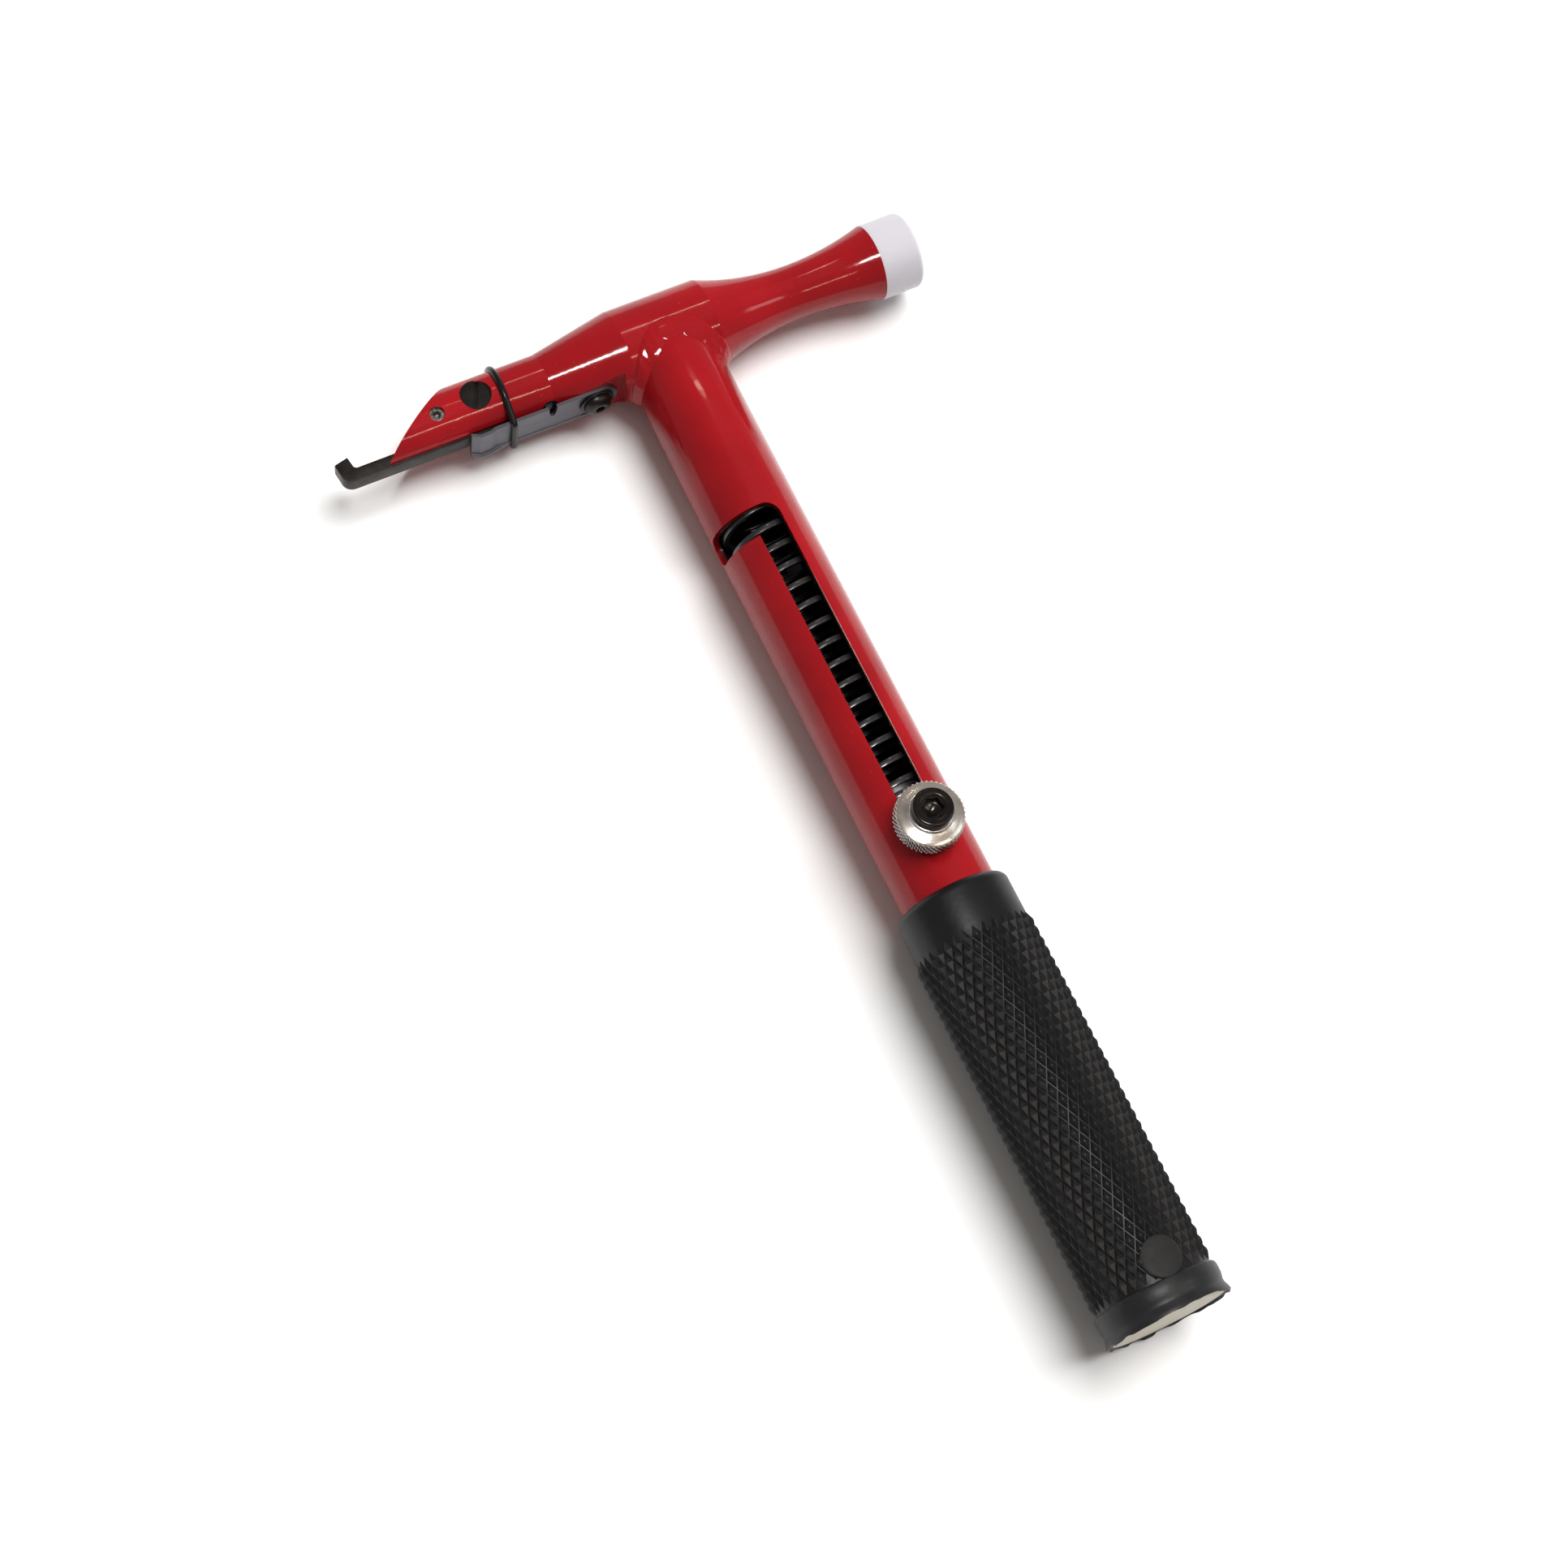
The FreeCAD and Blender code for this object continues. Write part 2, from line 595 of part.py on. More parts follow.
def end_disc():
    return rod(V(0, DISC_END_Y, 0), Y_AXIS, DISC_R, DISC_T)


def export(name, shape):
    shape.translate(-ORIGIN)
    if shape.ShapeType == "Compound" and len(shape.Solids) == 1:
        shape = shape.Solids[0]
    shape.exportStep("parts/" + name + ".step")
    print(name, round(shape.Volume, 1), shape.isValid(), len(shape.Solids))


os.makedirs("parts", exist_ok=True)
for piece in (
    head_body,
    striking_tip,
    hook_blade,
    hook_screw,
    hook_set_screw,
    spring_clip,
    clip_washer,
    clip_screw,
    retaining_ring,
    handle_tube,
    weld_bead,
    spring_seat,
    return_spring,
    slider_plunger,
    knob,
    screw_washer,
    knob_screw,
    grip,
    end_disc,
):
    export(piece.__name__, piece())
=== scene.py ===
import math

import bmesh
import bpy
from mathutils import Matrix, Vector, noise


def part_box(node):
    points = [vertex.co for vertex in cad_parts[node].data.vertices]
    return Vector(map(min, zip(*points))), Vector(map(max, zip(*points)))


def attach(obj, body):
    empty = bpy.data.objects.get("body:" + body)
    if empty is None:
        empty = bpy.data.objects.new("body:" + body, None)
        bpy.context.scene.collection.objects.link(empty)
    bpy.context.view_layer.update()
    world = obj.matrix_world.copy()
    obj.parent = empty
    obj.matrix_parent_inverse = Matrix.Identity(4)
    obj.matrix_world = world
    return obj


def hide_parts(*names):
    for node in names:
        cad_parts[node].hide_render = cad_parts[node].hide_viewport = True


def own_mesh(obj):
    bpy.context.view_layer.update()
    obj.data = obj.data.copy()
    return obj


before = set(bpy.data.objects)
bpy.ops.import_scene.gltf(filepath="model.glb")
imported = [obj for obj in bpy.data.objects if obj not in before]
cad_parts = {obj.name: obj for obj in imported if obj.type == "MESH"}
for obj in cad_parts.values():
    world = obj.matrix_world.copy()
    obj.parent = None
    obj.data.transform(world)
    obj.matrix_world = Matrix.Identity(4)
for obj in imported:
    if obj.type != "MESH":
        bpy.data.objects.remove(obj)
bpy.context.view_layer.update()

MM = 0.001
FULL_TURN = 2 * math.pi


# ---- Hammer head ---------------------------------------------------------------------
# A steel bar turned to a barrel, a cone and nose on one side and a waisted flare on the
# other, milled flat under the nose, then sprayed with thick red enamel.

class Signal:
    """A value on its way through the nodes, so that shading reads as arithmetic."""

    def __init__(self, wiring, node, output):
        self.wiring = wiring
        self.node = node
        self.socket = node.outputs[output]

    def math(self, operation, first, second):
        return self.wiring.add("ShaderNodeMath", {"operation": operation}, {0: first, 1: second})

    def __add__(self, other):
        return self.math("ADD", self, other)

    def __mul__(self, other):
        return self.math("MULTIPLY", self, other)

    __radd__ = __add__
    __rmul__ = __mul__


class Wiring:
    """The nodes of one tree, all added and joined here."""

    def __init__(self, tree):
        self.tree = tree

    def add(self, kind, settings=None, sockets=None, output=0):
        """Adds a node with its settings and inputs, and gives back one of its outputs."""
        node = self.tree.nodes.new(kind)
        for name, value in (settings or {}).items():
            if name == "stops":
                while len(node.color_ramp.elements) < len(value):
                    node.color_ramp.elements.new(1)
                for element, (position, colour) in zip(node.color_ramp.elements, value):
                    element.position = position
                    element.color = (*colour, 1)
            else:
                setattr(node, name, value)
        for name, value in (sockets or {}).items():
            self.set(node.inputs[name], value)
        return Signal(self, node, output)

    def set(self, socket, value):
        if isinstance(value, Signal):
            self.tree.links.new(value.socket, socket)
        elif isinstance(value, tuple) and len(value) == 3 and socket.type == "RGBA":
            socket.default_value = (*value, 1)
        else:
            socket.default_value = value


class Finish(Wiring):
    """One material: a Principled shader, and the nodes that feed it."""

    def __init__(self, name, **constants):
        self.material = bpy.data.materials.new(name)
        self.material.use_nodes = True
        super().__init__(self.material.node_tree)
        self.shader = self.tree.nodes["Principled BSDF"]
        self.feed(**constants)
        self.place = self.add("ShaderNodeTexCoord", output="Object")

    def feed(self, **values):
        for name, value in values.items():
            self.set(self.shader.inputs[name.replace("_", " ")], value)

    def vector_math(self, operation, first, second):
        return self.add("ShaderNodeVectorMath", {"operation": operation}, {0: first, 1: second})

    def speckle(self, scale, detail=2.0, roughness=0.5, stretch=(1, 1, 1)):
        """Smooth noise from 0 to 1, at so many cells to the metre."""
        place = self.place
        if stretch != (1, 1, 1):
            place = self.vector_math("MULTIPLY", place, stretch)
        return self.add(
            "ShaderNodeTexNoise", {},
            {"Vector": place, "Scale": scale, "Detail": detail, "Roughness": roughness},
        )

    def axis(self, which):
        return self.add("ShaderNodeSeparateXYZ", {}, {0: self.place}, output=which)

    def blend(self, factor, first, second):
        """The first colour where factor is 0, and the second where it is 1."""
        mix = self.add("ShaderNodeMix", {"data_type": "RGBA"}, {0: factor}, output=2)
        self.set(mix.node.inputs[6], first)
        self.set(mix.node.inputs[7], second)
        return mix

    def band(self, value, low, high):
        """0 below low, 1 above high, and an even rise between."""
        return self.add(
            "ShaderNodeMapRange", {"clamp": True},
            {"Value": value, "From Min": low, "From Max": high},
        )

    def waves(self, value, pitch):
        """An even wave between 0 and 1 along a value, with its crests a pitch apart."""
        turns = value * (FULL_TURN / pitch)
        return 0.5 + 0.5 * self.add("ShaderNodeMath", {"operation": "SINE"}, {0: turns})

    def distance_from(self, centre, along=(1, 1, 1)):
        """Metres from a point, counting only the axes marked 1."""
        offset = self.vector_math("SUBTRACT", self.place, centre)
        flat = self.vector_math("MULTIPLY", offset, along)
        return self.add("ShaderNodeVectorMath", {"operation": "LENGTH"}, {0: flat}, output=1)

    def relief(self, height, depth):
        """Bump of the given depth in metres, where height runs from 0 to 1."""
        bump = {"Height": height, "Distance": depth, "Strength": 1.0}
        self.feed(Normal=self.add("ShaderNodeBump", {}, bump))


def paint(piece, finish):
    """Gives every material slot of the piece the one finish."""
    if not piece.data.materials:
        piece.data.materials.append(finish.material)
    for slot in piece.material_slots:
        slot.material = finish.material


ENAMEL = (0.335, 0.0075, 0.0115)
ENAMEL_THIN = (0.265, 0.006, 0.0095)
ENAMEL_DUST = (0.52, 0.10, 0.11)


def red_enamel(name):
    """Sprayed gloss enamel: slight orange peel, slow changes of depth, and specks of dust."""
    finish = Finish(name, IOR=1.32, Coat_Roughness=0.03)
    depth = finish.band(finish.speckle(45, 3), 0.35, 0.7)
    colour = finish.blend(depth, ENAMEL, ENAMEL_THIN)
    dust = finish.band(finish.speckle(1500, 1), 0.77, 0.82) * 0.6
    finish.colour = finish.blend(dust, colour, ENAMEL_DUST)
    finish.feed(
        Base_Color=finish.colour,
        Roughness=0.07 + 0.07 * finish.speckle(160, 4),
        Coat_Weight=0.02 + 0.06 * finish.speckle(70, 2),
    )
    peel = 0.75 * finish.speckle(420, 1.5) + 0.25 * finish.speckle(1300, 2)
    finish.relief(peel, 0.000035)
    return finish


enamel = red_enamel("red_enamel")
paint(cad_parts["head_body"], enamel)


# ---- Soft striking tip ---------------------------------------------------------------
# A plug of white nylon bar, faced and edge-rounded on a lathe, with a threaded spigot
# that screws into the flared end of the head.

NYLON = (0.60, 0.585, 0.635)
NYLON_SCUFF = (0.45, 0.44, 0.47)
LATHE_FEED = 0.0007
SCUFF_START_X, FACE_X = 0.0825, 0.0844
nylon = Finish(
    "white_nylon", Subsurface_Weight=0.35, Subsurface_Radius=(1.0, 0.95, 1.0),
    Subsurface_Scale=0.0025, IOR=1.5,
)
nylon_x = nylon.axis("X")
lathe_lines = nylon.waves(nylon_x, LATHE_FEED)
scuff = nylon.band(nylon.speckle(260, 5, 0.65), 0.52, 0.75)
scuff = scuff * nylon.band(nylon_x, SCUFF_START_X, FACE_X)
nylon.feed(
    Base_Color=nylon.blend(scuff + 0.15 * nylon.speckle(90, 3), NYLON, NYLON_SCUFF),
    Roughness=0.36 + 0.16 * nylon.speckle(300, 3),
)
nylon.relief(0.25 * lathe_lines + 0.75 * nylon.speckle(500, 3), 0.00003)
paint(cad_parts["striking_tip"], nylon)


# ---- Hook blade ----------------------------------------------------------------------
# A flat steel bar with its end turned up into a hook, slipped into the slot of the nose.
# It is cold-blacked and oiled, and rubbed a little brown along its faces.

def black_oxide(name, shade=1.0, gloss=0.34):
    """Chemically blacked steel, with rubbed places and fine marks along its length."""
    finish = Finish(name, Metallic=0.85, IOR=1.5)
    rubbed = finish.band(finish.speckle(240, 5, 0.6), 0.45, 0.72)
    marks = finish.speckle(900, 3, 0.6, (0.12, 1, 1))
    finish.feed(
        Base_Color=finish.blend(
            rubbed,
            tuple(shade * v for v in (0.050, 0.045, 0.043)),
            tuple(shade * v for v in (0.085, 0.073, 0.067)),
        ),
        Roughness=gloss + 0.18 * marks,
    )
    finish.relief(0.5 * marks + 0.5 * finish.speckle(1500, 2), 0.00002)
    return finish


BUILT_JOIN, COPY_JOIN = 1e-7, 2e-6
FACET_LIMIT = 0.5
COPY_CREASE = 20


def add_piece(name, points, faces, finish, crease):
    """A mesh object from points in metres, with its faces turned outwards."""
    mesh = bpy.data.meshes.new(name)
    mesh.from_pydata([tuple(p) for p in points], [], faces)
    mesh.update()
    work = bmesh.new()
    work.from_mesh(mesh)
    bmesh.ops.remove_doubles(work, verts=work.verts, dist=BUILT_JOIN)
    bmesh.ops.recalc_face_normals(work, faces=work.faces)
    work.to_mesh(mesh)
    work.free()
    mesh.shade_smooth()
    mesh.set_sharp_from_angle(angle=math.radians(crease))
    piece = bpy.data.objects.new(name, mesh)
    bpy.context.scene.collection.objects.link(piece)
    paint(piece, finish)
    return piece


def eased_copy(node, name, finish, width, body="hammer", limit=28):
    """Stands for a CAD node: the same shape with its sharp edges broken by a small bevel."""
    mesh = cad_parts[node].data.copy()
    mesh.name = name
    work = bmesh.new()
    work.from_mesh(mesh)
    bmesh.ops.remove_doubles(work, verts=work.verts, dist=COPY_JOIN)
    bmesh.ops.dissolve_limit(
        work, angle_limit=math.radians(FACET_LIMIT), verts=work.verts, edges=work.edges,
        use_dissolve_boundaries=False,
    )
    sharp = [
        edge for edge in work.edges
        if len(edge.link_faces) == 2 and edge.calc_face_angle(0) > math.radians(limit)
    ]
    bmesh.ops.bevel(
        work, geom=sharp, offset=width, segments=2, profile=0.6, affect="EDGES", clamp_overlap=True,
    )
    work.to_mesh(mesh)
    work.free()
    mesh.materials.clear()
    if "custom_normal" in mesh.attributes:
        mesh.attributes.remove(mesh.attributes["custom_normal"])
    mesh.shade_smooth()
    mesh.set_sharp_from_angle(angle=math.radians(COPY_CREASE))
    piece = bpy.data.objects.new(name, mesh)
    bpy.context.scene.collection.objects.link(piece)
    paint(piece, finish)
    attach(piece, body)
    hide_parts(node)
    return piece


blade_black = black_oxide("blacked_blade", 0.55)
eased_copy("hook_blade", "hook_bar", blade_black, 0.18 * MM)


# ---- Nose screws ---------------------------------------------------------------------
# A slotted cheese-head screw clamps the blade in its slot, and a socket set screw beside
# it locks it. Both are blacked; the set screw's rim is worn bright by the key.

screw_black = black_oxide("blacked_screws", 0.4, 0.45)
eased_copy("hook_screw", "slotted_screw", screw_black, 0.15 * MM)
set_screw_steel = Finish("worn_set_screw", Metallic=0.7)
worn = set_screw_steel.band(set_screw_steel.speckle(1400, 3, 0.6), 0.40, 0.60)
set_screw_steel.feed(
    Base_Color=set_screw_steel.blend(worn, (0.05, 0.048, 0.045), (0.34, 0.32, 0.29)),
    Roughness=0.22 + 0.2 * set_screw_steel.speckle(900, 2),
)
eased_copy("hook_set_screw", "set_screw", set_screw_steel, 0.28 * MM)


# ---- Leaf clip -----------------------------------------------------------------------
# Grey spring steel sheet, blanked with a round screw end and a notch, with its far edge
# folded down and its front pressed into a shallow bump that bears on the blade.

HEAD_AXIS_Y = sum(corner.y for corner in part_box("striking_tip")) / 2
HANDLE_AXIS_X = sum(corner.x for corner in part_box("handle_tube")) / 2
AXIS_Z = sum(corner.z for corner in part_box("handle_tube")) / 2
CLIP_T = 0.9
CLIP_NEAR_Z = 4.6
CLIP_FAR_Z = -5.9
CLIP_SEAT_Y = -8.72
CLIP_FOLD_R = 1.0
CLIP_DROP, CLIP_FRONT_DROP = 0.3, 0.5
CLIP_DROP_FADES = (-51.2, -48.6)
CLIP_TOE, CLIP_TOE_RISE = (-58.8, -57.2), 0.5
CLIP_BUMP_STARTS = (-57.6, -56.4)
CLIP_REAR_CENTRE_X = -21.8
CLIP_NOTCH_X = -35.8
CLIP_NOTCH_R = 1.15
CLIP_NOTCH_DEPTH = 4.2
CLIP_BUMP_X = -54.6
CLIP_BUMP_RISE = 0.55


def placed(x, y, z):
    """A point in metres from millimetres about the crossing of the head's and handle's axes."""
    return (HANDLE_AXIS_X + x * MM, HEAD_AXIS_Y + y * MM, AXIS_Z + z * MM)


def skin(rings, joined=False):
    """Quads between rings of equal count; the last joins the first, or each end gets a face."""
    count = len(rings[0])
    total = count * len(rings)
    faces = []
    for start in range(0, total if joined else total - count, count):
        for k in range(count):
            a, b = start + k, start + (k + 1) % count
            faces.append((a, b, (b + count) % total, (a + count) % total))
    if not joined:
        faces.append(tuple(range(count)))
        faces.append(tuple(range(total - count, total)))
    return [p for ring in rings for p in ring], faces


def smooth_step(value, low, high):
    """0 below low, 1 above high, and an eased rise between."""
    t = min(1.0, max(0.0, (value - low) / (high - low)))
    return t * t * (3 - 2 * t)


def clip_ring(x):
    """The sheet's outline across the clip at one place along it."""
    near = CLIP_NEAR_Z
    if abs(x - CLIP_NOTCH_X) < CLIP_NOTCH_R:
        near -= CLIP_NOTCH_DEPTH * math.sqrt(1 - ((x - CLIP_NOTCH_X) / CLIP_NOTCH_R) ** 2)
    far = CLIP_FAR_Z
    drop = CLIP_DROP + CLIP_FRONT_DROP * (1 - smooth_step(x, *CLIP_DROP_FADES))
    if x > CLIP_REAR_CENTRE_X:
        reach = math.sqrt(max(0.04, CLIP_NEAR_Z ** 2 - (x - CLIP_REAR_CENTRE_X) ** 2))
        near, far = min(near, reach), max(far, -reach)
        drop *= 1 - smooth_step(x, CLIP_REAR_CENTRE_X, CLIP_REAR_CENTRE_X + 2.5)
    seat = CLIP_SEAT_Y
    bump_end = 1 - smooth_step(x, CLIP_BUMP_X + 0.6, CLIP_BUMP_X + 3.0)
    seat -= CLIP_BUMP_RISE * smooth_step(x, *CLIP_BUMP_STARTS) * bump_end
    seat += CLIP_TOE_RISE * (1 - smooth_step(x, *CLIP_TOE))
    inner = [(near, seat)]
    fold = CLIP_FOLD_R * min(1, drop)
    centre_z = far + fold
    for k in range(6):
        angle = math.radians(90 + 90 * k / 5)
        inner.append((centre_z + fold * math.cos(angle), seat - fold + fold * math.sin(angle)))
    inner.append((far, seat - CLIP_T - drop))
    outer = [(far + CLIP_T, seat - CLIP_T - drop)]
    tight = max(0.05, fold - CLIP_T)
    tight_z, tight_y = far + CLIP_T + tight, seat - CLIP_T - tight
    for k in range(6):
        angle = math.radians(180 - 90 * k / 5)
        outer.append((tight_z + tight * math.cos(angle), tight_y + tight * math.sin(angle)))
    outer.append((near, seat - CLIP_T))
    return [placed(x, y, z) for z, y in inner + outer]


CLIP_DARK, CLIP_LIGHT = (0.115, 0.112, 0.13), (0.15, 0.147, 0.165)
clip_grey = Finish("clip_spring_steel", Metallic=0.9)
grain = clip_grey.speckle(700, 4, 0.6, (0.15, 1, 1))
clip_grey.feed(
    Base_Color=clip_grey.blend(clip_grey.speckle(120, 3), CLIP_DARK, CLIP_LIGHT),
    Roughness=0.38 + 0.2 * grain,
)
clip_grey.relief(grain, 0.00002)
stations = [-58.8, -58.4, -58.0]
stations += [-57.6 + 0.3 * k for k in range(19)]
stations += [-52.0 + 0.4 * k for k in range(36)]
stations += [CLIP_NOTCH_X + CLIP_NOTCH_R * math.sin(math.radians(a)) for a in range(-90, 91, 12)]
stations += [-34.2 + 1.2 * k for k in range(11)]
stations += [CLIP_REAR_CENTRE_X + 4.6 * math.sin(math.radians(a)) for a in range(6, 90, 6)]
stations = sorted(set(round(x, 4) for x in stations))
points, faces = skin([clip_ring(x) for x in stations])
clip = add_piece("leaf_clip", points, faces, clip_grey, crease=32)
ease = clip.modifiers.new("eased_edges", "BEVEL")
ease.width, ease.segments, ease.angle_limit = 0.14 * MM, 2, math.radians(50)
ease.limit_method = "ANGLE"
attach(clip, "hammer")
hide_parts("spring_clip")

# Painted shade: the head's flat is painted near-black under the clip's notch, where the gap under
# the clip lies in shadow.
NOTCH_SHADE_R = 2.4
notch_place = placed(CLIP_NOTCH_X, CLIP_SEAT_Y, CLIP_NEAR_Z - CLIP_NOTCH_DEPTH / 2)
from_notch = enamel.distance_from(notch_place)
blacked = enamel.band(from_notch, (NOTCH_SHADE_R + 0.1) * MM, (NOTCH_SHADE_R - 0.1) * MM)
enamel.feed(Base_Color=enamel.blend(blacked, enamel.colour, (0.006, 0.006, 0.007)))


# ---- Clip screw and washer -----------------------------------------------------------
# A blacked button-head socket screw and a flat washer hold the clip's round end against
# the flat milled on the cone.

fastener_black = black_oxide("blacked_fasteners", 0.6, 0.2)
eased_copy("clip_washer", "clip_flat_washer", fastener_black, 0.12 * MM)
eased_copy("clip_screw", "button_screw", fastener_black, 0.12 * MM)


# ---- Retaining ring ------------------------------------------------------------------
# A rubber O-ring of 1.8 mm cord, rolled over the nose and the clip's front to keep
# the clip down. It lies a little askew, and is pulled tight round the clip's two edges.

RING_CORD = 0.9
RING_SUNK = 0.6
RING_SEAT_R = 8.3
RING_FAR_CORNER, RING_NEAR_CORNER = (-6.0, -9.7), (3.95, -9.1)
RING_X = -46.8
RING_SKEW = -2.0
RING_POINTS = 144
RING_SIDES = 16


def ring_line():
    """The cord's centre line in (z, y): a tight belt round the nose and two small corners."""
    nose = (0, 0, RING_SEAT_R + RING_CORD - RING_SUNK)
    supports = (nose, (*RING_FAR_CORNER, RING_CORD), (*RING_NEAR_CORNER, RING_CORD))
    line = []
    for k in range(RING_POINTS * 4):
        angle = FULL_TURN * k / (RING_POINTS * 4)
        out = (math.cos(angle), math.sin(angle))
        z, y, r = max(supports, key=lambda s: s[0] * out[0] + s[1] * out[1] + s[2])
        line.append((z + r * out[0], y + r * out[1]))
    lengths = [0.0]
    for a, b in zip(line, line[1:] + line[:1]):
        lengths.append(lengths[-1] + math.dist(a, b))
    spaced = []
    k = 0
    for step in range(RING_POINTS):
        goal = lengths[-1] * step / RING_POINTS
        while lengths[k + 1] < goal:
            k += 1
        share = (goal - lengths[k]) / max(1e-9, lengths[k + 1] - lengths[k])
        a, b = line[k], line[(k + 1) % len(line)]
        spaced.append((a[0] + (b[0] - a[0]) * share, a[1] + (b[1] - a[1]) * share))
    return spaced


cord_line = ring_line()
lean = math.tan(math.radians(RING_SKEW))
rings = []
for k, (z, y) in enumerate(cord_line):
    before, after = cord_line[k - 1], cord_line[(k + 1) % RING_POINTS]
    along = Vector((after[0] - before[0], after[1] - before[1])).normalized()
    out = Vector((along.y, -along.x))
    ring = []
    for s in range(RING_SIDES):
        angle = FULL_TURN * s / RING_SIDES
        r = RING_CORD * math.cos(angle)
        x = RING_X - y * lean + RING_CORD * math.sin(angle)
        ring.append(placed(x, y + out.y * r, z + out.x * r))
    rings.append(ring)
points, faces = skin(rings, joined=True)
RING_DARK, RING_LIGHT = (0.004, 0.004, 0.0045), (0.012, 0.012, 0.012)
ring_rubber = Finish("o_ring_rubber", IOR=1.32)
ring_rubber.feed(
    Base_Color=ring_rubber.blend(ring_rubber.speckle(500, 3), RING_DARK, RING_LIGHT),
    Roughness=0.16 + 0.16 * ring_rubber.speckle(700, 3),
)
ring_rubber.relief(ring_rubber.speckle(1200, 2), 0.00002)
o_ring = add_piece("o_ring", points, faces, ring_rubber, crease=60)
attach(o_ring, "hammer")
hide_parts("retaining_ring")


# ---- Handle tube ---------------------------------------------------------------------
# One-inch steel tube, coped to the barrel and milled with a J-shaped slot, then sprayed
# with the head. The bare bore is painted near-black as shade, the slot's cut faces are a darker
# red, and a painted highlight runs along the slot's right lip.

TUBE_R = 12.7
BORE_R = 10.6
tube_paint = red_enamel("tube_enamel")
from_axis = tube_paint.distance_from((HANDLE_AXIS_X, 0, AXIS_Z), (1, 0, 1))
outside = tube_paint.band(from_axis, (TUBE_R - 0.5) * MM, (TUBE_R - 0.18) * MM)
wall = tube_paint.band(from_axis, (BORE_R + 0.25) * MM, (BORE_R + 0.5) * MM)
SLOT_SIDE_X = HANDLE_AXIS_X / MM + 3.95
LIP_HIGHLIGHT_COLOUR = (0.85, 0.66, 0.56)
across = tube_paint.axis("X")
# Painted highlight: a thin bright line on the slot's right lip only, where its cut edge catches the
# light.
painted_lip_highlight = (
    tube_paint.band(from_axis, (TUBE_R - 0.75) * MM, (TUBE_R - 0.55) * MM)
    * tube_paint.band(across, (SLOT_SIDE_X - 0.07) * MM, (SLOT_SIDE_X - 0.03) * MM)
    * tube_paint.band(across, (SLOT_SIDE_X + 0.07) * MM, (SLOT_SIDE_X + 0.03) * MM)
    * tube_paint.band(tube_paint.axis("Y"), HEAD_AXIS_Y - 78 * MM, HEAD_AXIS_Y - 96 * MM)
    * tube_paint.band(tube_paint.axis("Y"), HEAD_AXIS_Y - 156 * MM, HEAD_AXIS_Y - 150 * MM)
)
# The slot's cut faces are a darker red, and the bare bore is painted near-black as shade.
painted = tube_paint.blend(outside, (0.11, 0.004, 0.006), tube_paint.colour)
bore_shaded = tube_paint.blend(wall, (0.006, 0.006, 0.0065), painted)
tube_paint.feed(Base_Color=tube_paint.blend(painted_lip_highlight, bore_shaded, LIP_HIGHLIGHT_COLOUR))
eased_copy("handle_tube", "slotted_tube", tube_paint, 0.12 * MM, limit=50)


# ---- Weld ----------------------------------------------------------------------------
# A welded fillet all round the coped end of the tube, run by hand and so lumpy and
# rippled, then painted over with the rest.

BARREL_R = 12.4
BARREL_NOSE_X, BARREL_FLARE_X = -12.4, 14.0
CONE_DROP, CONE_LENGTH = 4.1, 22
WAIST_R, WAIST_X = 7.35, 40
WAIST_LENGTH, WAIST_DROP = 26, 4.85
WELD_AROUND = 260
WELD_ACROSS = 22
HEART_R = 11.4
WELD_EDGE_Z = 12.37
RIPPLES, RIPPLE_HEIGHT = 38, 0.03
LUMP_HEIGHT, CROWN_HEIGHT = 0.16, 0.16
TUBE_SINK, BARREL_SINK = 0.40, 0.45
SEARCH_REACH, SEARCH_STEPS = 7.0, 22


def blended_gap(x, y, z, reach):
    """Distance outside the tube and barrel, run together over the given reach."""
    tube = max(math.hypot(x, z) - TUBE_R, y - 0.2)
    barrel = math.hypot(y, z) - barrel_radius(x)
    near = max(reach - abs(tube - barrel), 0) / reach
    return min(tube, barrel) - near * near * reach / 4


def barrel_radius(x):
    """The turned head's radius near the weld: a cone, the barrel, and a hollow arc."""
    if x < BARREL_NOSE_X:
        return BARREL_R - CONE_DROP * (BARREL_NOSE_X - x) / CONE_LENGTH
    if x > BARREL_FLARE_X:
        arc = (WAIST_LENGTH ** 2 + WAIST_DROP ** 2) / (2 * WAIST_DROP)
        return WAIST_R + arc - math.sqrt(arc ** 2 - (x - WAIST_X) ** 2)
    return BARREL_R


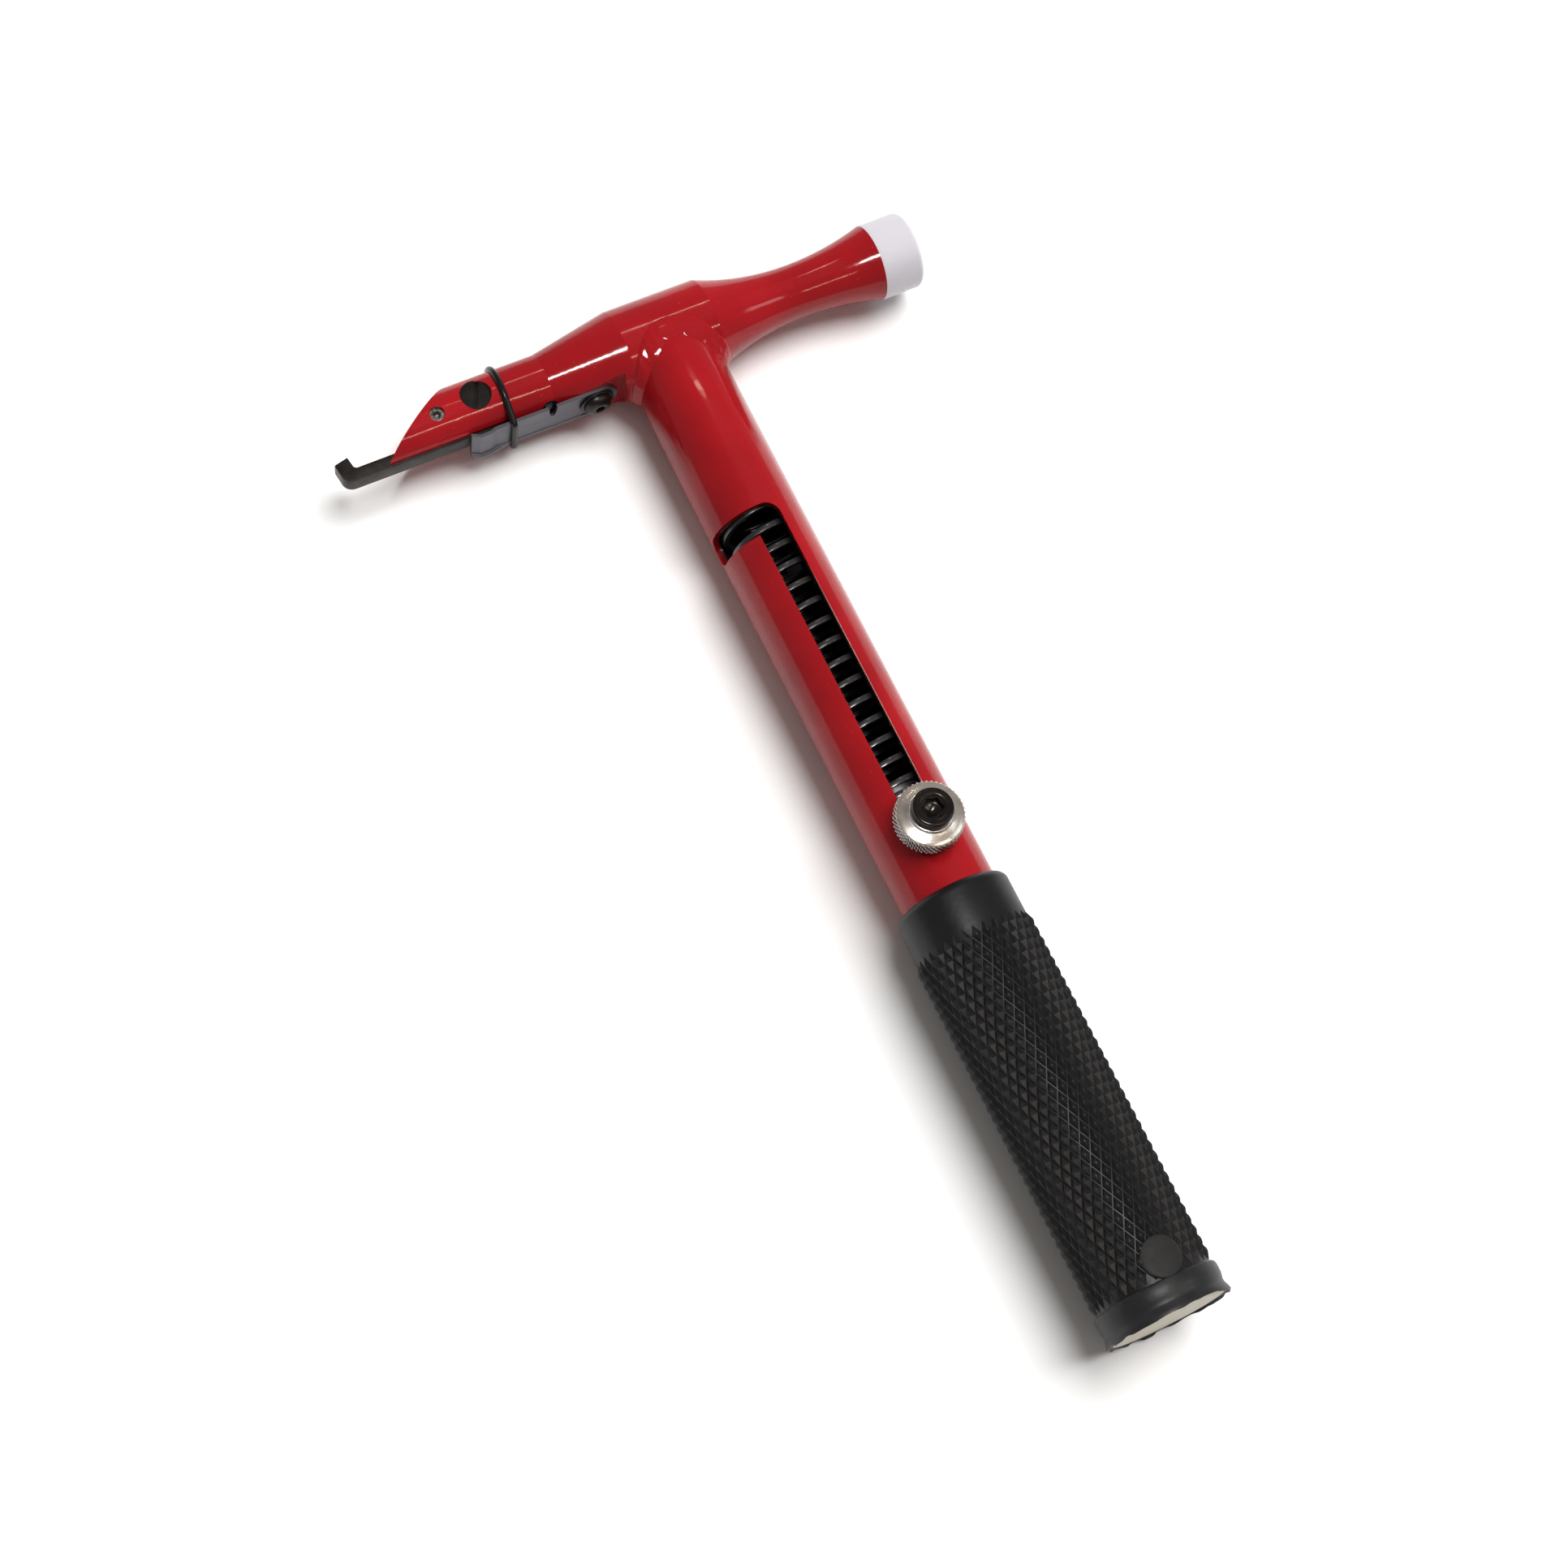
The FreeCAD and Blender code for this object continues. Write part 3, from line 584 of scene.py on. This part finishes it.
def weld_point(turn, across):
    """A point of the bead, from the tube at 0 across to the barrel at 1."""
    sine, cosine = math.sin(turn), math.cos(turn)
    flat = abs(cosine) ** 6
    nose_side = max(0.0, -sine)
    leg_down = 3.0 + 4.6 * flat + 0.5 * noise.noise(Vector((3 * sine, 3 * cosine, 7)))
    leg_out = 3.4 - 1.2 * nose_side + 0.4 * noise.noise(Vector((3 * sine, 3 * cosine, 21)))
    joint = -math.sqrt(max(0.0, BARREL_R ** 2 - min(BARREL_R, abs(TUBE_R * cosine)) ** 2))
    start = Vector((TUBE_R * sine, joint - leg_down, TUBE_R * cosine))
    start_out = Vector((sine, 0, cosine))
    z = (TUBE_R + leg_out) * abs(cosine)
    z = math.copysign(z / (1 + (z / WELD_EDGE_Z) ** 16) ** (1 / 16), cosine)
    end_x = (TUBE_R + leg_out) * sine
    end = Vector((end_x, -math.sqrt(max(0.0, BARREL_R ** 2 - z * z)) + 0.9 * flat, z))
    end_out = Vector((0, end.y, end.z)).normalized()
    base = start.lerp(end, across)
    out = start_out.lerp(end_out, across).normalized()
    reach = 4.4 - 2.2 * flat
    ripple = RIPPLE_HEIGHT * math.sin(turn * RIPPLES + 3.0 * math.sin(math.pi * across))
    lump = LUMP_HEIGHT * noise.noise(Vector((4 * sine, 4 * cosine, 1.6 * across)))
    crown = math.sin(math.pi * across)
    goal = CROWN_HEIGHT * crown + (ripple + lump) * crown ** 0.7
    tube_sink = TUBE_SINK * (1 - smooth_step(across, 0, 0.3))
    goal -= tube_sink + BARREL_SINK * smooth_step(across, 0.7, 1)
    low, high = -SEARCH_REACH, SEARCH_REACH
    for _ in range(SEARCH_STEPS):
        middle = (low + high) / 2
        p = base + out * middle
        if blended_gap(p.x, p.y, p.z, reach) < goal:
            low = middle
        else:
            high = middle
    return base + out * middle


rings = []
for k in range(WELD_AROUND):
    turn = FULL_TURN * k / WELD_AROUND
    bead = [weld_point(turn, s / WELD_ACROSS) for s in range(WELD_ACROSS + 1)]
    heart_y = bead[0].y * 0.6 + bead[-1].y * 0.4 + 0.8
    heart = Vector((math.sin(turn) * HEART_R, heart_y, math.cos(turn) * HEART_R))
    rings.append([placed(*p) for p in bead + [heart]])
points, faces = skin(rings, joined=True)
weld = add_piece("weld_fillet", points, faces, red_enamel("weld_enamel"), crease=70)
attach(weld, "hammer")
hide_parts("weld_bead")


# ---- Return spring -------------------------------------------------------------------
# Square spring wire coiled in the tube, ends closed, japanned gloss black. It sits between a
# turned seat under the head and the slider, and pushes the slider down the slot.

SPRING_TOP_Y = -16.6
SPRING_BOTTOM_Y = -145.6
SPRING_R = 10.1
WIRE = 1.6
WIRE_CORNER = 0.22
ACTIVE_TURNS = 21
CLOSED_PITCH = 1.65
COIL_STEPS = 72
COIL_CREST_Y = -135.2


def coil_height(turns):
    """Height of the wire's middle after so many turns, closed at both ends."""
    length = SPRING_TOP_Y - SPRING_BOTTOM_Y - WIRE
    pitch = (length - 2 * CLOSED_PITCH) / ACTIVE_TURNS
    active = min(max(turns - 1, 0), ACTIVE_TURNS)
    closed = min(turns, 1) + max(turns - 1 - ACTIVE_TURNS, 0)
    return SPRING_BOTTOM_Y + WIRE / 2 + closed * CLOSED_PITCH + active * pitch


wire_outline = []
for corner_out, corner_up in ((1, 1), (-1, 1), (-1, -1), (1, -1)):
    first = math.degrees(math.atan2(corner_up, corner_out)) - 45
    for k in range(3):
        angle = math.radians(first + 45 * k)
        wire_outline.append((
            corner_out * (WIRE / 2 - WIRE_CORNER) + WIRE_CORNER * math.cos(angle),
            corner_up * (WIRE / 2 - WIRE_CORNER) + WIRE_CORNER * math.sin(angle),
        ))
crest_turn = 1 + (COIL_CREST_Y - coil_height(1)) / (coil_height(2) - coil_height(1))
rings = []
for k in range((ACTIVE_TURNS + 2) * COIL_STEPS + 1):
    turns = k / COIL_STEPS
    angle = math.pi / 2 - FULL_TURN * (turns - crest_turn)
    ring = []
    for out, up in wire_outline:
        r = SPRING_R - WIRE / 2 + out
        ring.append(placed(r * math.cos(angle), coil_height(turns) + up, r * math.sin(angle)))
    rings.append(ring)
points, faces = skin(rings)
JAPAN_DARK, JAPAN_LIGHT = (0.006, 0.006, 0.007), (0.020, 0.018, 0.019)
spring_black = Finish("japanned_spring", IOR=1.5, Coat_Weight=0.5, Coat_Roughness=0.08)
spring_black.feed(
    Base_Color=spring_black.blend(spring_black.speckle(400, 3), JAPAN_DARK, JAPAN_LIGHT),
    Roughness=0.22 + 0.2 * spring_black.speckle(600, 3),
)
spring_black.relief(spring_black.speckle(1100, 2), 0.00002)
spring = add_piece("coil_spring", points, faces, spring_black, crease=50)
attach(spring, "hammer")
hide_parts("return_spring")
placed(0, SPRING_TOP_Y, 0)
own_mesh(spring)
turned_steel = Finish("turned_steel", Metallic=1.0)
tool_marks = turned_steel.speckle(500, 3, 0.6, (1, 6, 1))
turned_steel.feed(
    Base_Color=turned_steel.blend(tool_marks, (0.16, 0.155, 0.15), (0.30, 0.29, 0.28)),
    Roughness=0.28 + 0.2 * tool_marks,
)
turned_steel.relief(tool_marks, 0.00003)
for node in ("spring_seat", "slider_plunger"):
    paint(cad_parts[node], turned_steel)


# ---- Slider knob ---------------------------------------------------------------------
# Turned aluminium, faced to a very flat cone, with a diamond knurl round its rim.
# Its screw goes down through the slot into the plunger.

KNOB_Y = -154.6
KNOB_TOP_Z = 19.2
KNOB_FOOT_Z = 13.0
KNOB_R = 9.05
KNOB_BORE_R = 3.35
KNURL_TEETH = 44
KNURL_PITCH = 2.0
KNURL_DEPTH = 0.5
KNURL_LOW_Z, KNURL_HIGH_Z = 13.7, 18.0


def turned(profile, sides, spot):
    """Rings of a lathe profile of (radius, height), each point set in place by spot."""
    return [
        [spot(radius, FULL_TURN * k / sides, height) for k in range(sides)]
        for radius, height in profile
    ]


def on_knob(radius, angle, height):
    """A point about the knob's axis at rest."""
    return placed(radius * math.cos(angle), KNOB_Y + radius * math.sin(angle), height)


def ridge(value):
    """A triangle wave: 0 at whole numbers, 1 half way between."""
    return 1 - abs(2 * (value % 1) - 1)


def on_knurled_rim(radius, angle, height):
    """The knob's turned shape, with two crossing sets of grooves cut as deep as they reach."""
    if height >= KNURL_LOW_Z:
        teeth, climb = angle * KNURL_TEETH / FULL_TURN, height / KNURL_PITCH
        cut = 1 - min(ridge(teeth + climb), ridge(teeth - climb))
        fade = smooth_step(height, KNURL_LOW_Z, KNURL_LOW_Z + 0.3)
        radius = min(radius, KNOB_R - KNURL_DEPTH * (1 - (1 - cut) * fade))
    return on_knob(radius, angle, height)


rim = [(KNOB_R, KNURL_LOW_Z + (KNURL_HIGH_Z - KNURL_LOW_Z) * k / 36) for k in range(37)]
profile = [(KNOB_BORE_R, KNOB_FOOT_Z), (8.3, KNOB_FOOT_Z), (8.55, 13.1)] + rim
profile += [(8.88, 18.14), (8.7, 18.28), (8.52, 18.42), (8.3, 18.54)]
profile += [(7.4, 18.78), (5.95, 19.14), (5.8, KNOB_TOP_Z)]
profile += [(KNOB_BORE_R, KNOB_TOP_Z)]
points, faces = skin(turned(profile, KNURL_TEETH * 8, on_knurled_rim), joined=True)
FACING_FEED = 0.00028
RIM_TOP_Z = AXIS_Z / MM + KNURL_HIGH_Z
bright = Finish("turned_aluminium", Metallic=0.8, Anisotropic=0.5)
from_centre = bright.distance_from(placed(0, KNOB_Y, 0), (1, 1, 0))
tool_line = bright.waves(from_centre, FACING_FEED)
handled = bright.band(bright.speckle(330, 4), 0.42, 0.7)
# Painted shade: the knurl's grooves below the rim's top are painted dark purple.
knurl_groove_shade = bright.band(from_centre, (KNOB_R - 0.06) * MM, (KNOB_R - 0.3) * MM)
knurl_groove_shade = knurl_groove_shade * bright.band(
    bright.axis("Z"), (RIM_TOP_Z + 0.1) * MM, (RIM_TOP_Z - 0.1) * MM,
)
aluminium = bright.blend(handled, (0.60, 0.545, 0.495), (0.48, 0.42, 0.37))
bright.feed(
    Base_Color=bright.blend(knurl_groove_shade * 0.92, aluminium, (0.05, 0.035, 0.05)),
    Roughness=0.15 + 0.12 * bright.speckle(500, 3),
)
bright.relief(0.6 * tool_line + 0.4 * bright.speckle(900, 3), 0.000012)
knob = add_piece("knurled_knob", points, faces, bright, crease=24)
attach(knob, "slider")
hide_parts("knob")


# ---- Knob washer ---------------------------------------------------------------------
# A small polished steel washer under the screw's head, its edge rounded by tumbling.

WASHER_R = 5.7
WASHER_TOP_Z = 20.3
profile = [(KNOB_BORE_R, KNOB_TOP_Z), (WASHER_R - 0.3, KNOB_TOP_Z)]
profile += [
    (WASHER_R - 0.45 + 0.45 * math.cos(math.radians(a)),
     KNOB_TOP_Z + 0.55 + 0.5 * math.sin(math.radians(a)))
    for a in range(-70, 91, 20)
]
profile += [(KNOB_BORE_R, WASHER_TOP_Z)]
points, faces = skin(turned(profile, 96, on_knob), joined=True)
WASHER_DULL, WASHER_BRIGHT = (0.42, 0.41, 0.40), (0.62, 0.60, 0.58)
polished = Finish("polished_washer", Metallic=1.0)
polished.feed(
    Base_Color=polished.blend(polished.speckle(600, 3), WASHER_DULL, WASHER_BRIGHT),
    Roughness=0.14 + 0.14 * polished.speckle(900, 3),
)
washer = add_piece("knob_flat_washer", points, faces, polished, crease=40)
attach(washer, "slider")
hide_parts("screw_washer")


# ---- Knob screw ----------------------------------------------------------------------
# A socket-head cap screw, blacked and oiled, forged with a rounded head and a hexagon socket
# whose mouth is coned.

SCREW_R = 3.175
SCREW_HEAD_R = 5.3
SCREW_TOP_Z = 23.6
SCREW_END_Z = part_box("knob_screw")[0].z / MM - AXIS_Z / MM
SOCKET_HALF = 2.38
SOCKET_DEPTH = 2.6


def on_socket_screw(radius, angle, height):
    """Round where the radius is above 0, and the hexagon of the socket where it is below."""
    if radius < 0:
        facet = (angle + math.pi / 6) % (math.pi / 3) - math.pi / 6
        radius = -radius * SOCKET_HALF / math.cos(facet)
    return on_knob(radius, angle + math.radians(12), height)


profile = [(SCREW_R - 0.4, SCREW_END_Z), (SCREW_R, SCREW_END_Z + 0.4), (SCREW_R, WASHER_TOP_Z)]
profile += [(SCREW_HEAD_R - 0.2, WASHER_TOP_Z), (SCREW_HEAD_R, WASHER_TOP_Z + 0.2)]
profile += [
    (SCREW_HEAD_R - 0.7 + 0.7 * math.cos(math.radians(a)),
     SCREW_TOP_Z - 0.7 + 0.7 * math.sin(math.radians(a)))
    for a in range(0, 91, 15)
]
profile += [(3.55, SCREW_TOP_Z), (3.4, SCREW_TOP_Z - 0.05), (2.85, SCREW_TOP_Z - 0.5)]
socket_floor = SCREW_TOP_Z - SOCKET_DEPTH
profile += [(-1.0, SCREW_TOP_Z - 0.75), (-1.0, socket_floor), (2.0, socket_floor)]
profile += [(1.9, socket_floor - 0.05), (0.25, socket_floor - 0.9)]
points, faces = skin(turned(profile, 96, on_socket_screw))
cap_screw_black = black_oxide("blacked_cap_screw", 0.6, 0.1)
cap_screw = add_piece("cap_screw", points, faces, cap_screw_black, crease=33)
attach(cap_screw, "slider")
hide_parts("knob_screw")


# ---- Grip ----------------------------------------------------------------------------
# A moulded rubber sleeve with a plain collar, a lattice of small pyramids, a round pad
# near the butt, and a flared lip. It is pushed on to the tube.

GRIP_TOP_Y = -171.6
COLLAR_R = 15.3
COLLAR_EDGE_R = 2.4
LATTICE_TOP_Y = -183.6
FLANGE_Y = -281.2
GRIP_END_Y = -288.6
LIP_R = 16.8
LIP_TRIM_Y = -288.9
GRIP_BORE_R = 12.75
CELLS_ROUND = 35
GRIP_SIDES = CELLS_ROUND * 4
CELL_ROWS = 33
CELL_HALF_LENGTH = (LATTICE_TOP_Y - FLANGE_Y) / (CELL_ROWS + 1)
FLOOR_R = 15.25
PEAK_R = 16.08
GROOVE = 0.10
PEAK_FLAT = 0.10


def on_handle(radius, angle, height):
    """A point about the handle's axis, its angle measured from the knob's side."""
    return placed(radius * math.sin(angle), height, radius * math.cos(angle))


def cell_corners(column, row, share, radius):
    """Four points round a lattice cell's middle, at a share of its half lengths."""
    angle = FULL_TURN * (column + 0.5 * (row % 2)) / CELLS_ROUND
    height = LATTICE_TOP_Y - CELL_HALF_LENGTH * (row + 1)
    half_angle = FULL_TURN / CELLS_ROUND / 2
    steps = ((0, 1), (1, 0), (0, -1), (-1, 0))
    return [
        on_handle(radius, angle + half_angle * share * a, height + CELL_HALF_LENGTH * share * h)
        for a, h in steps
    ]


points, faces = [], []
for row in range(CELL_ROWS):
    for column in range(CELLS_ROUND):
        first = len(points)
        points += cell_corners(column, row, 1 - GROOVE, FLOOR_R)
        points += cell_corners(column, row, PEAK_FLAT, PEAK_R)
        for k in range(4):
            after = (k + 1) % 4
            faces.append((first + k, first + after, first + 4 + after, first + 4 + k))
        faces.append((first + 4, first + 5, first + 6, first + 7))


def corner_index(column, row, corner):
    """Where a corner of a lattice cell's foot is in the list of points."""
    return ((row * CELLS_ROUND) + column % CELLS_ROUND) * 8 + corner


TOP, RIGHT, BOTTOM, LEFT = range(4)
for row in range(CELL_ROWS - 1):
    for column in range(CELLS_ROUND):
        right_below = column + row % 2
        left_below = right_below - 1
        faces.append((
            corner_index(column, row, RIGHT), corner_index(column, row, BOTTOM),
            corner_index(right_below, row + 1, LEFT), corner_index(right_below, row + 1, TOP),
        ))
        faces.append((
            corner_index(column, row, BOTTOM), corner_index(column, row, LEFT),
            corner_index(left_below, row + 1, TOP), corner_index(left_below, row + 1, RIGHT),
        ))
        faces.append((
            corner_index(column, row, BOTTOM), corner_index(left_below, row + 1, RIGHT),
            corner_index(column, row + 2, TOP), corner_index(right_below, row + 1, LEFT),
        ) if row < CELL_ROWS - 2 else (
            corner_index(column, row, BOTTOM), corner_index(left_below, row + 1, RIGHT),
            corner_index(right_below, row + 1, LEFT),
        ))


def on_lip(radius, angle, height):
    """The lip's edge is uneven, so it goes in and out a little."""
    if height < LIP_TRIM_Y:
        ragged = 0.5 + 0.5 * noise.noise(Vector((4 * math.sin(angle), 4 * math.cos(angle), 3)))
        share = 0.15 + 0.85 * smooth_step(ragged, 0.3, 0.62)
        height = LIP_TRIM_Y + (height - LIP_TRIM_Y) * share
    return on_handle(radius, angle, height)


border_start = {}
for row, side in ((0, TOP), (CELL_ROWS - 1, BOTTOM)):
    border_start[side] = start = len(points)
    border_y = LATTICE_TOP_Y if side == TOP else FLANGE_Y
    around = [FULL_TURN * k / GRIP_SIDES for k in range(GRIP_SIDES)]
    points += [on_handle(FLOOR_R, angle, border_y) for angle in around]
    for column in range(CELLS_ROUND):
        here, after = start + column * 4, start + (column + 1) % CELLS_ROUND * 4
        end, next_end = corner_index(column, row, side), corner_index(column + 1, row, side)
        right, next_left = corner_index(column, row, RIGHT), corner_index(column + 1, row, LEFT)
        faces.append((here, here + 1, right, end))
        faces.append((here + 1, here + 2, here + 3, next_left, right))
        faces.append((here + 3, after, next_end, next_left))
profile = [(COLLAR_R - 0.02, LATTICE_TOP_Y + 0.3)]
profile += [
    (COLLAR_R - COLLAR_EDGE_R * (1 - math.cos(math.radians(a))),
     GRIP_TOP_Y - COLLAR_EDGE_R * (1 - math.sin(math.radians(a))))
    for a in range(0, 91, 9)
]
profile += [(GRIP_BORE_R, GRIP_TOP_Y - 0.1), (GRIP_BORE_R, GRIP_END_Y), (16.15, GRIP_END_Y - 0.02)]
profile += [(16.25, -289.2), (16.4, -289.5), (16.62, -289.55), (16.78, -289.3)]
profile += [(LIP_R, -288.8), (16.5, -287.8), (16.15, -286.9)]
profile += [(16.1, -286.2), (16.3, -285.4), (16.5, -284.4)]
profile += [(16.5, -282.4), (16.3, -281.6), (15.9, -281.25)]
starts = [border_start[TOP]]
for ring in turned(profile, GRIP_SIDES, on_lip):
    starts.append(len(points))
    points += ring
starts.append(border_start[BOTTOM])
for one, other in zip(starts, starts[1:]):
    for k in range(GRIP_SIDES):
        after = (k + 1) % GRIP_SIDES
        faces.append((one + k, one + after, other + after, other + k))
rubber = Finish("grip_rubber", IOR=1.37)
from_axis = rubber.distance_from((HANDLE_AXIS_X, 0, AXIS_Z), (1, 0, 1))
rubbed_peaks = rubber.band(from_axis, (PEAK_R - 0.3) * MM, PEAK_R * MM) * rubber.speckle(160, 3)
rubber.feed(
    Base_Color=rubber.blend(rubbed_peaks, (0.0065, 0.0065, 0.0072), (0.022, 0.023, 0.024)),
    Roughness=0.30 + 0.2 * rubber.speckle(260, 4),
)
rubber.relief(rubber.speckle(900, 3), 0.00003)
grip = add_piece("rubber_grip", points, faces, rubber, crease=24)
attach(grip, "hammer")
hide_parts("grip")

PAD_X, PAD_Y = 0.8, -276.3


def on_pad(radius, angle, height):
    """On the round pad, which follows the grip: height is measured from the handle's axis."""
    x = PAD_X + radius * math.cos(angle)
    return placed(x, PAD_Y + radius * math.sin(angle), math.sqrt(height ** 2 - x ** 2))


profile = [(5.3, 14.7), (5.3, 15.85), (5.2, 16.05), (4.9, 16.16)]
profile += [(4.0, 16.2), (2.0, 16.2), (0.6, 16.2)]
points, faces = skin(turned(profile, 64, on_pad))
PAD_DARK, PAD_LIGHT = (0.0095, 0.009, 0.009), (0.018, 0.016, 0.016)
dull_rubber = Finish("dull_rubber", IOR=1.4)
dull_rubber.feed(
    Base_Color=dull_rubber.blend(dull_rubber.speckle(300, 4), PAD_DARK, PAD_LIGHT),
    Roughness=0.52 + 0.2 * dull_rubber.speckle(500, 4),
)
dull_rubber.relief(dull_rubber.speckle(800, 4), 0.00006)
pad = add_piece("grip_pad", points, faces, dull_rubber, crease=40)
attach(pad, "hammer")


# ---- Butt card -----------------------------------------------------------------------
# A cream disc with a dark red border, held in the grip's open end by the lip.

CARD_R = 16.1
BORDER_R = 14.9
profile = [(CARD_R - 0.1, GRIP_END_Y - 0.03), (CARD_R, -288.68), (CARD_R, -288.82)]
profile += [(CARD_R - 0.1, -288.88), (8.0, -288.92), (2.0, -288.94)]
points, faces = skin(turned(profile, 120, on_handle))
card = Finish("cream_card")
from_axis = card.distance_from((HANDLE_AXIS_X, 0, AXIS_Z), (1, 0, 1))
wobble = 0.0006 * card.speckle(150, 2)
border = card.band(from_axis + wobble, (BORDER_R + 0.25) * MM, (BORDER_R + 0.45) * MM)
aged = card.blend(card.speckle(180, 4), (0.60, 0.56, 0.46), (0.50, 0.46, 0.37))
card.feed(
    Base_Color=card.blend(border, aged, (0.09, 0.018, 0.028)),
    Roughness=0.5 + 0.25 * card.speckle(400, 3),
)
card.relief(card.speckle(1500, 4), 0.00003)
butt_card = add_piece("butt_card", points, faces, card, crease=40)
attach(butt_card, "hammer")
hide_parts("end_disc")


# ---- Table, lights and camera --------------------------------------------------------
# The white sheet meets the barrel and the top of the grip's lattice, and the weld dips
# 0.7 mm into it. Small lamps that only gloss shows, and wide soft light from the right.

CAMERA_PLACE = (-0.21566, -0.21528, 0.757505)
CAMERA_TILT = (21.36225, -6.26033, -25.93123)
LENS, SENSOR = 72.519, 36.0
FLOOR_SIZE = 6.0
FLOOR_SLOPE = (PEAK_R - BARREL_R) / -LATTICE_TOP_Y


def lamp(name, direction, width, height, power, colour=(1, 1, 1)):
    """A lamp a metre off in a direction from the crossing, seen in gloss only."""
    light = bpy.data.lights.new(name, "AREA")
    light.shape = "RECTANGLE"
    light.size, light.size_y = width, height
    light.energy = power
    light.color = colour
    holder = bpy.data.objects.new(name, light)
    away = Vector(direction).normalized()
    across = (Vector((1, 0, 0)) - away * away.x).normalized()
    holder.location = Vector(placed(0, 0, 0)) + away
    holder.rotation_mode = "QUATERNION"
    turn = Matrix((across, away.cross(across), away)).transposed()
    holder.rotation_quaternion = turn.to_quaternion()
    holder.visible_diffuse = False
    bpy.context.scene.collection.objects.link(holder)


half = FLOOR_SIZE / 2
rise = half * FLOOR_SLOPE
base_z = AXIS_Z - BARREL_R * MM - HEAD_AXIS_Y * FLOOR_SLOPE
floor_mesh = bpy.data.meshes.new("table_top")
low, high = base_z - rise, base_z + rise
floor_corners = [(-half, -half, low), (half, -half, low), (half, half, high), (-half, half, high)]
floor_mesh.from_pydata(floor_corners, [], [(0, 1, 2, 3)])
floor = bpy.data.objects.new("table_top", floor_mesh)
bpy.context.scene.collection.objects.link(floor)
sheet = Finish("white_sheet", Roughness=0.9)
# Painted shade: the sheet fades from white to grey away from the hammer, standing in for the dim
# room round it that the glossy parts reflect.
WHITE_TO, GREY_FROM = 0.34, 0.9
floor_falloff_shade = sheet.band(sheet.distance_from((0, 0, 0), (1, 1, 0)), WHITE_TO, GREY_FROM)
sheet.feed(Base_Color=sheet.blend(floor_falloff_shade, (0.95, 0.95, 0.95), (0.4, 0.4, 0.4)))
paint(floor, sheet)

lamp("bright_lamp", (-0.12, -0.23, 0.97), 0.22, 0.10, 5.0)
lamp("warm_strip_low", (0.20, -0.60, 0.76), 0.34, 0.02, 1.0, (1.0, 0.80, 0.62))
lamp("warm_strip_high", (0.22, 0.44, 0.87), 0.16, 0.015, 0.35, (1.0, 0.84, 0.70))
lamp("side_glow", (0.60, -0.42, 0.68), 0.28, 0.18, 0.7, (0.92, 1.0, 1.0))

window = bpy.data.lights.new("window_light", "SUN")
window.energy, window.angle, window.color = 3.95, math.radians(46), (1.0, 0.995, 0.985)
window_holder = bpy.data.objects.new("window_light", window)
window_holder.rotation_mode = "QUATERNION"
window_holder.rotation_quaternion = Vector((0.40, 0.12, 0.91)).to_track_quat("Z", "Y")
window_holder.visible_glossy = False
bpy.context.scene.collection.objects.link(window_holder)

world = bpy.data.worlds.new("studio")
bpy.context.scene.world = world
world.use_nodes = True
sky = Wiring(world.node_tree)
backdrop = sky.tree.nodes["Background"].inputs
direction = sky.add("ShaderNodeTexCoord", output="Generated")
upward = sky.add("ShaderNodeSeparateXYZ", {}, {0: direction}, output="Z")
SKY_STOPS = ((0.0, (0.65, 0.65, 0.66)), (0.8, (0.42, 0.38, 0.345)))
dome = sky.add("ShaderNodeValToRGB", {"stops": SKY_STOPS}, {0: upward})
sky.set(backdrop["Color"], dome)
sky.set(backdrop["Strength"], 0.47)

camera_data = bpy.data.cameras.new("camera")
camera_data.lens, camera_data.sensor_width = LENS, SENSOR
camera_data.clip_start, camera_data.clip_end = 0.01, 20
camera = bpy.data.objects.new("camera", camera_data)
camera.location = CAMERA_PLACE
camera.rotation_euler = [math.radians(a) for a in CAMERA_TILT]
bpy.context.scene.collection.objects.link(camera)
bpy.context.scene.camera = camera
bpy.context.scene.view_settings.view_transform = "Standard"
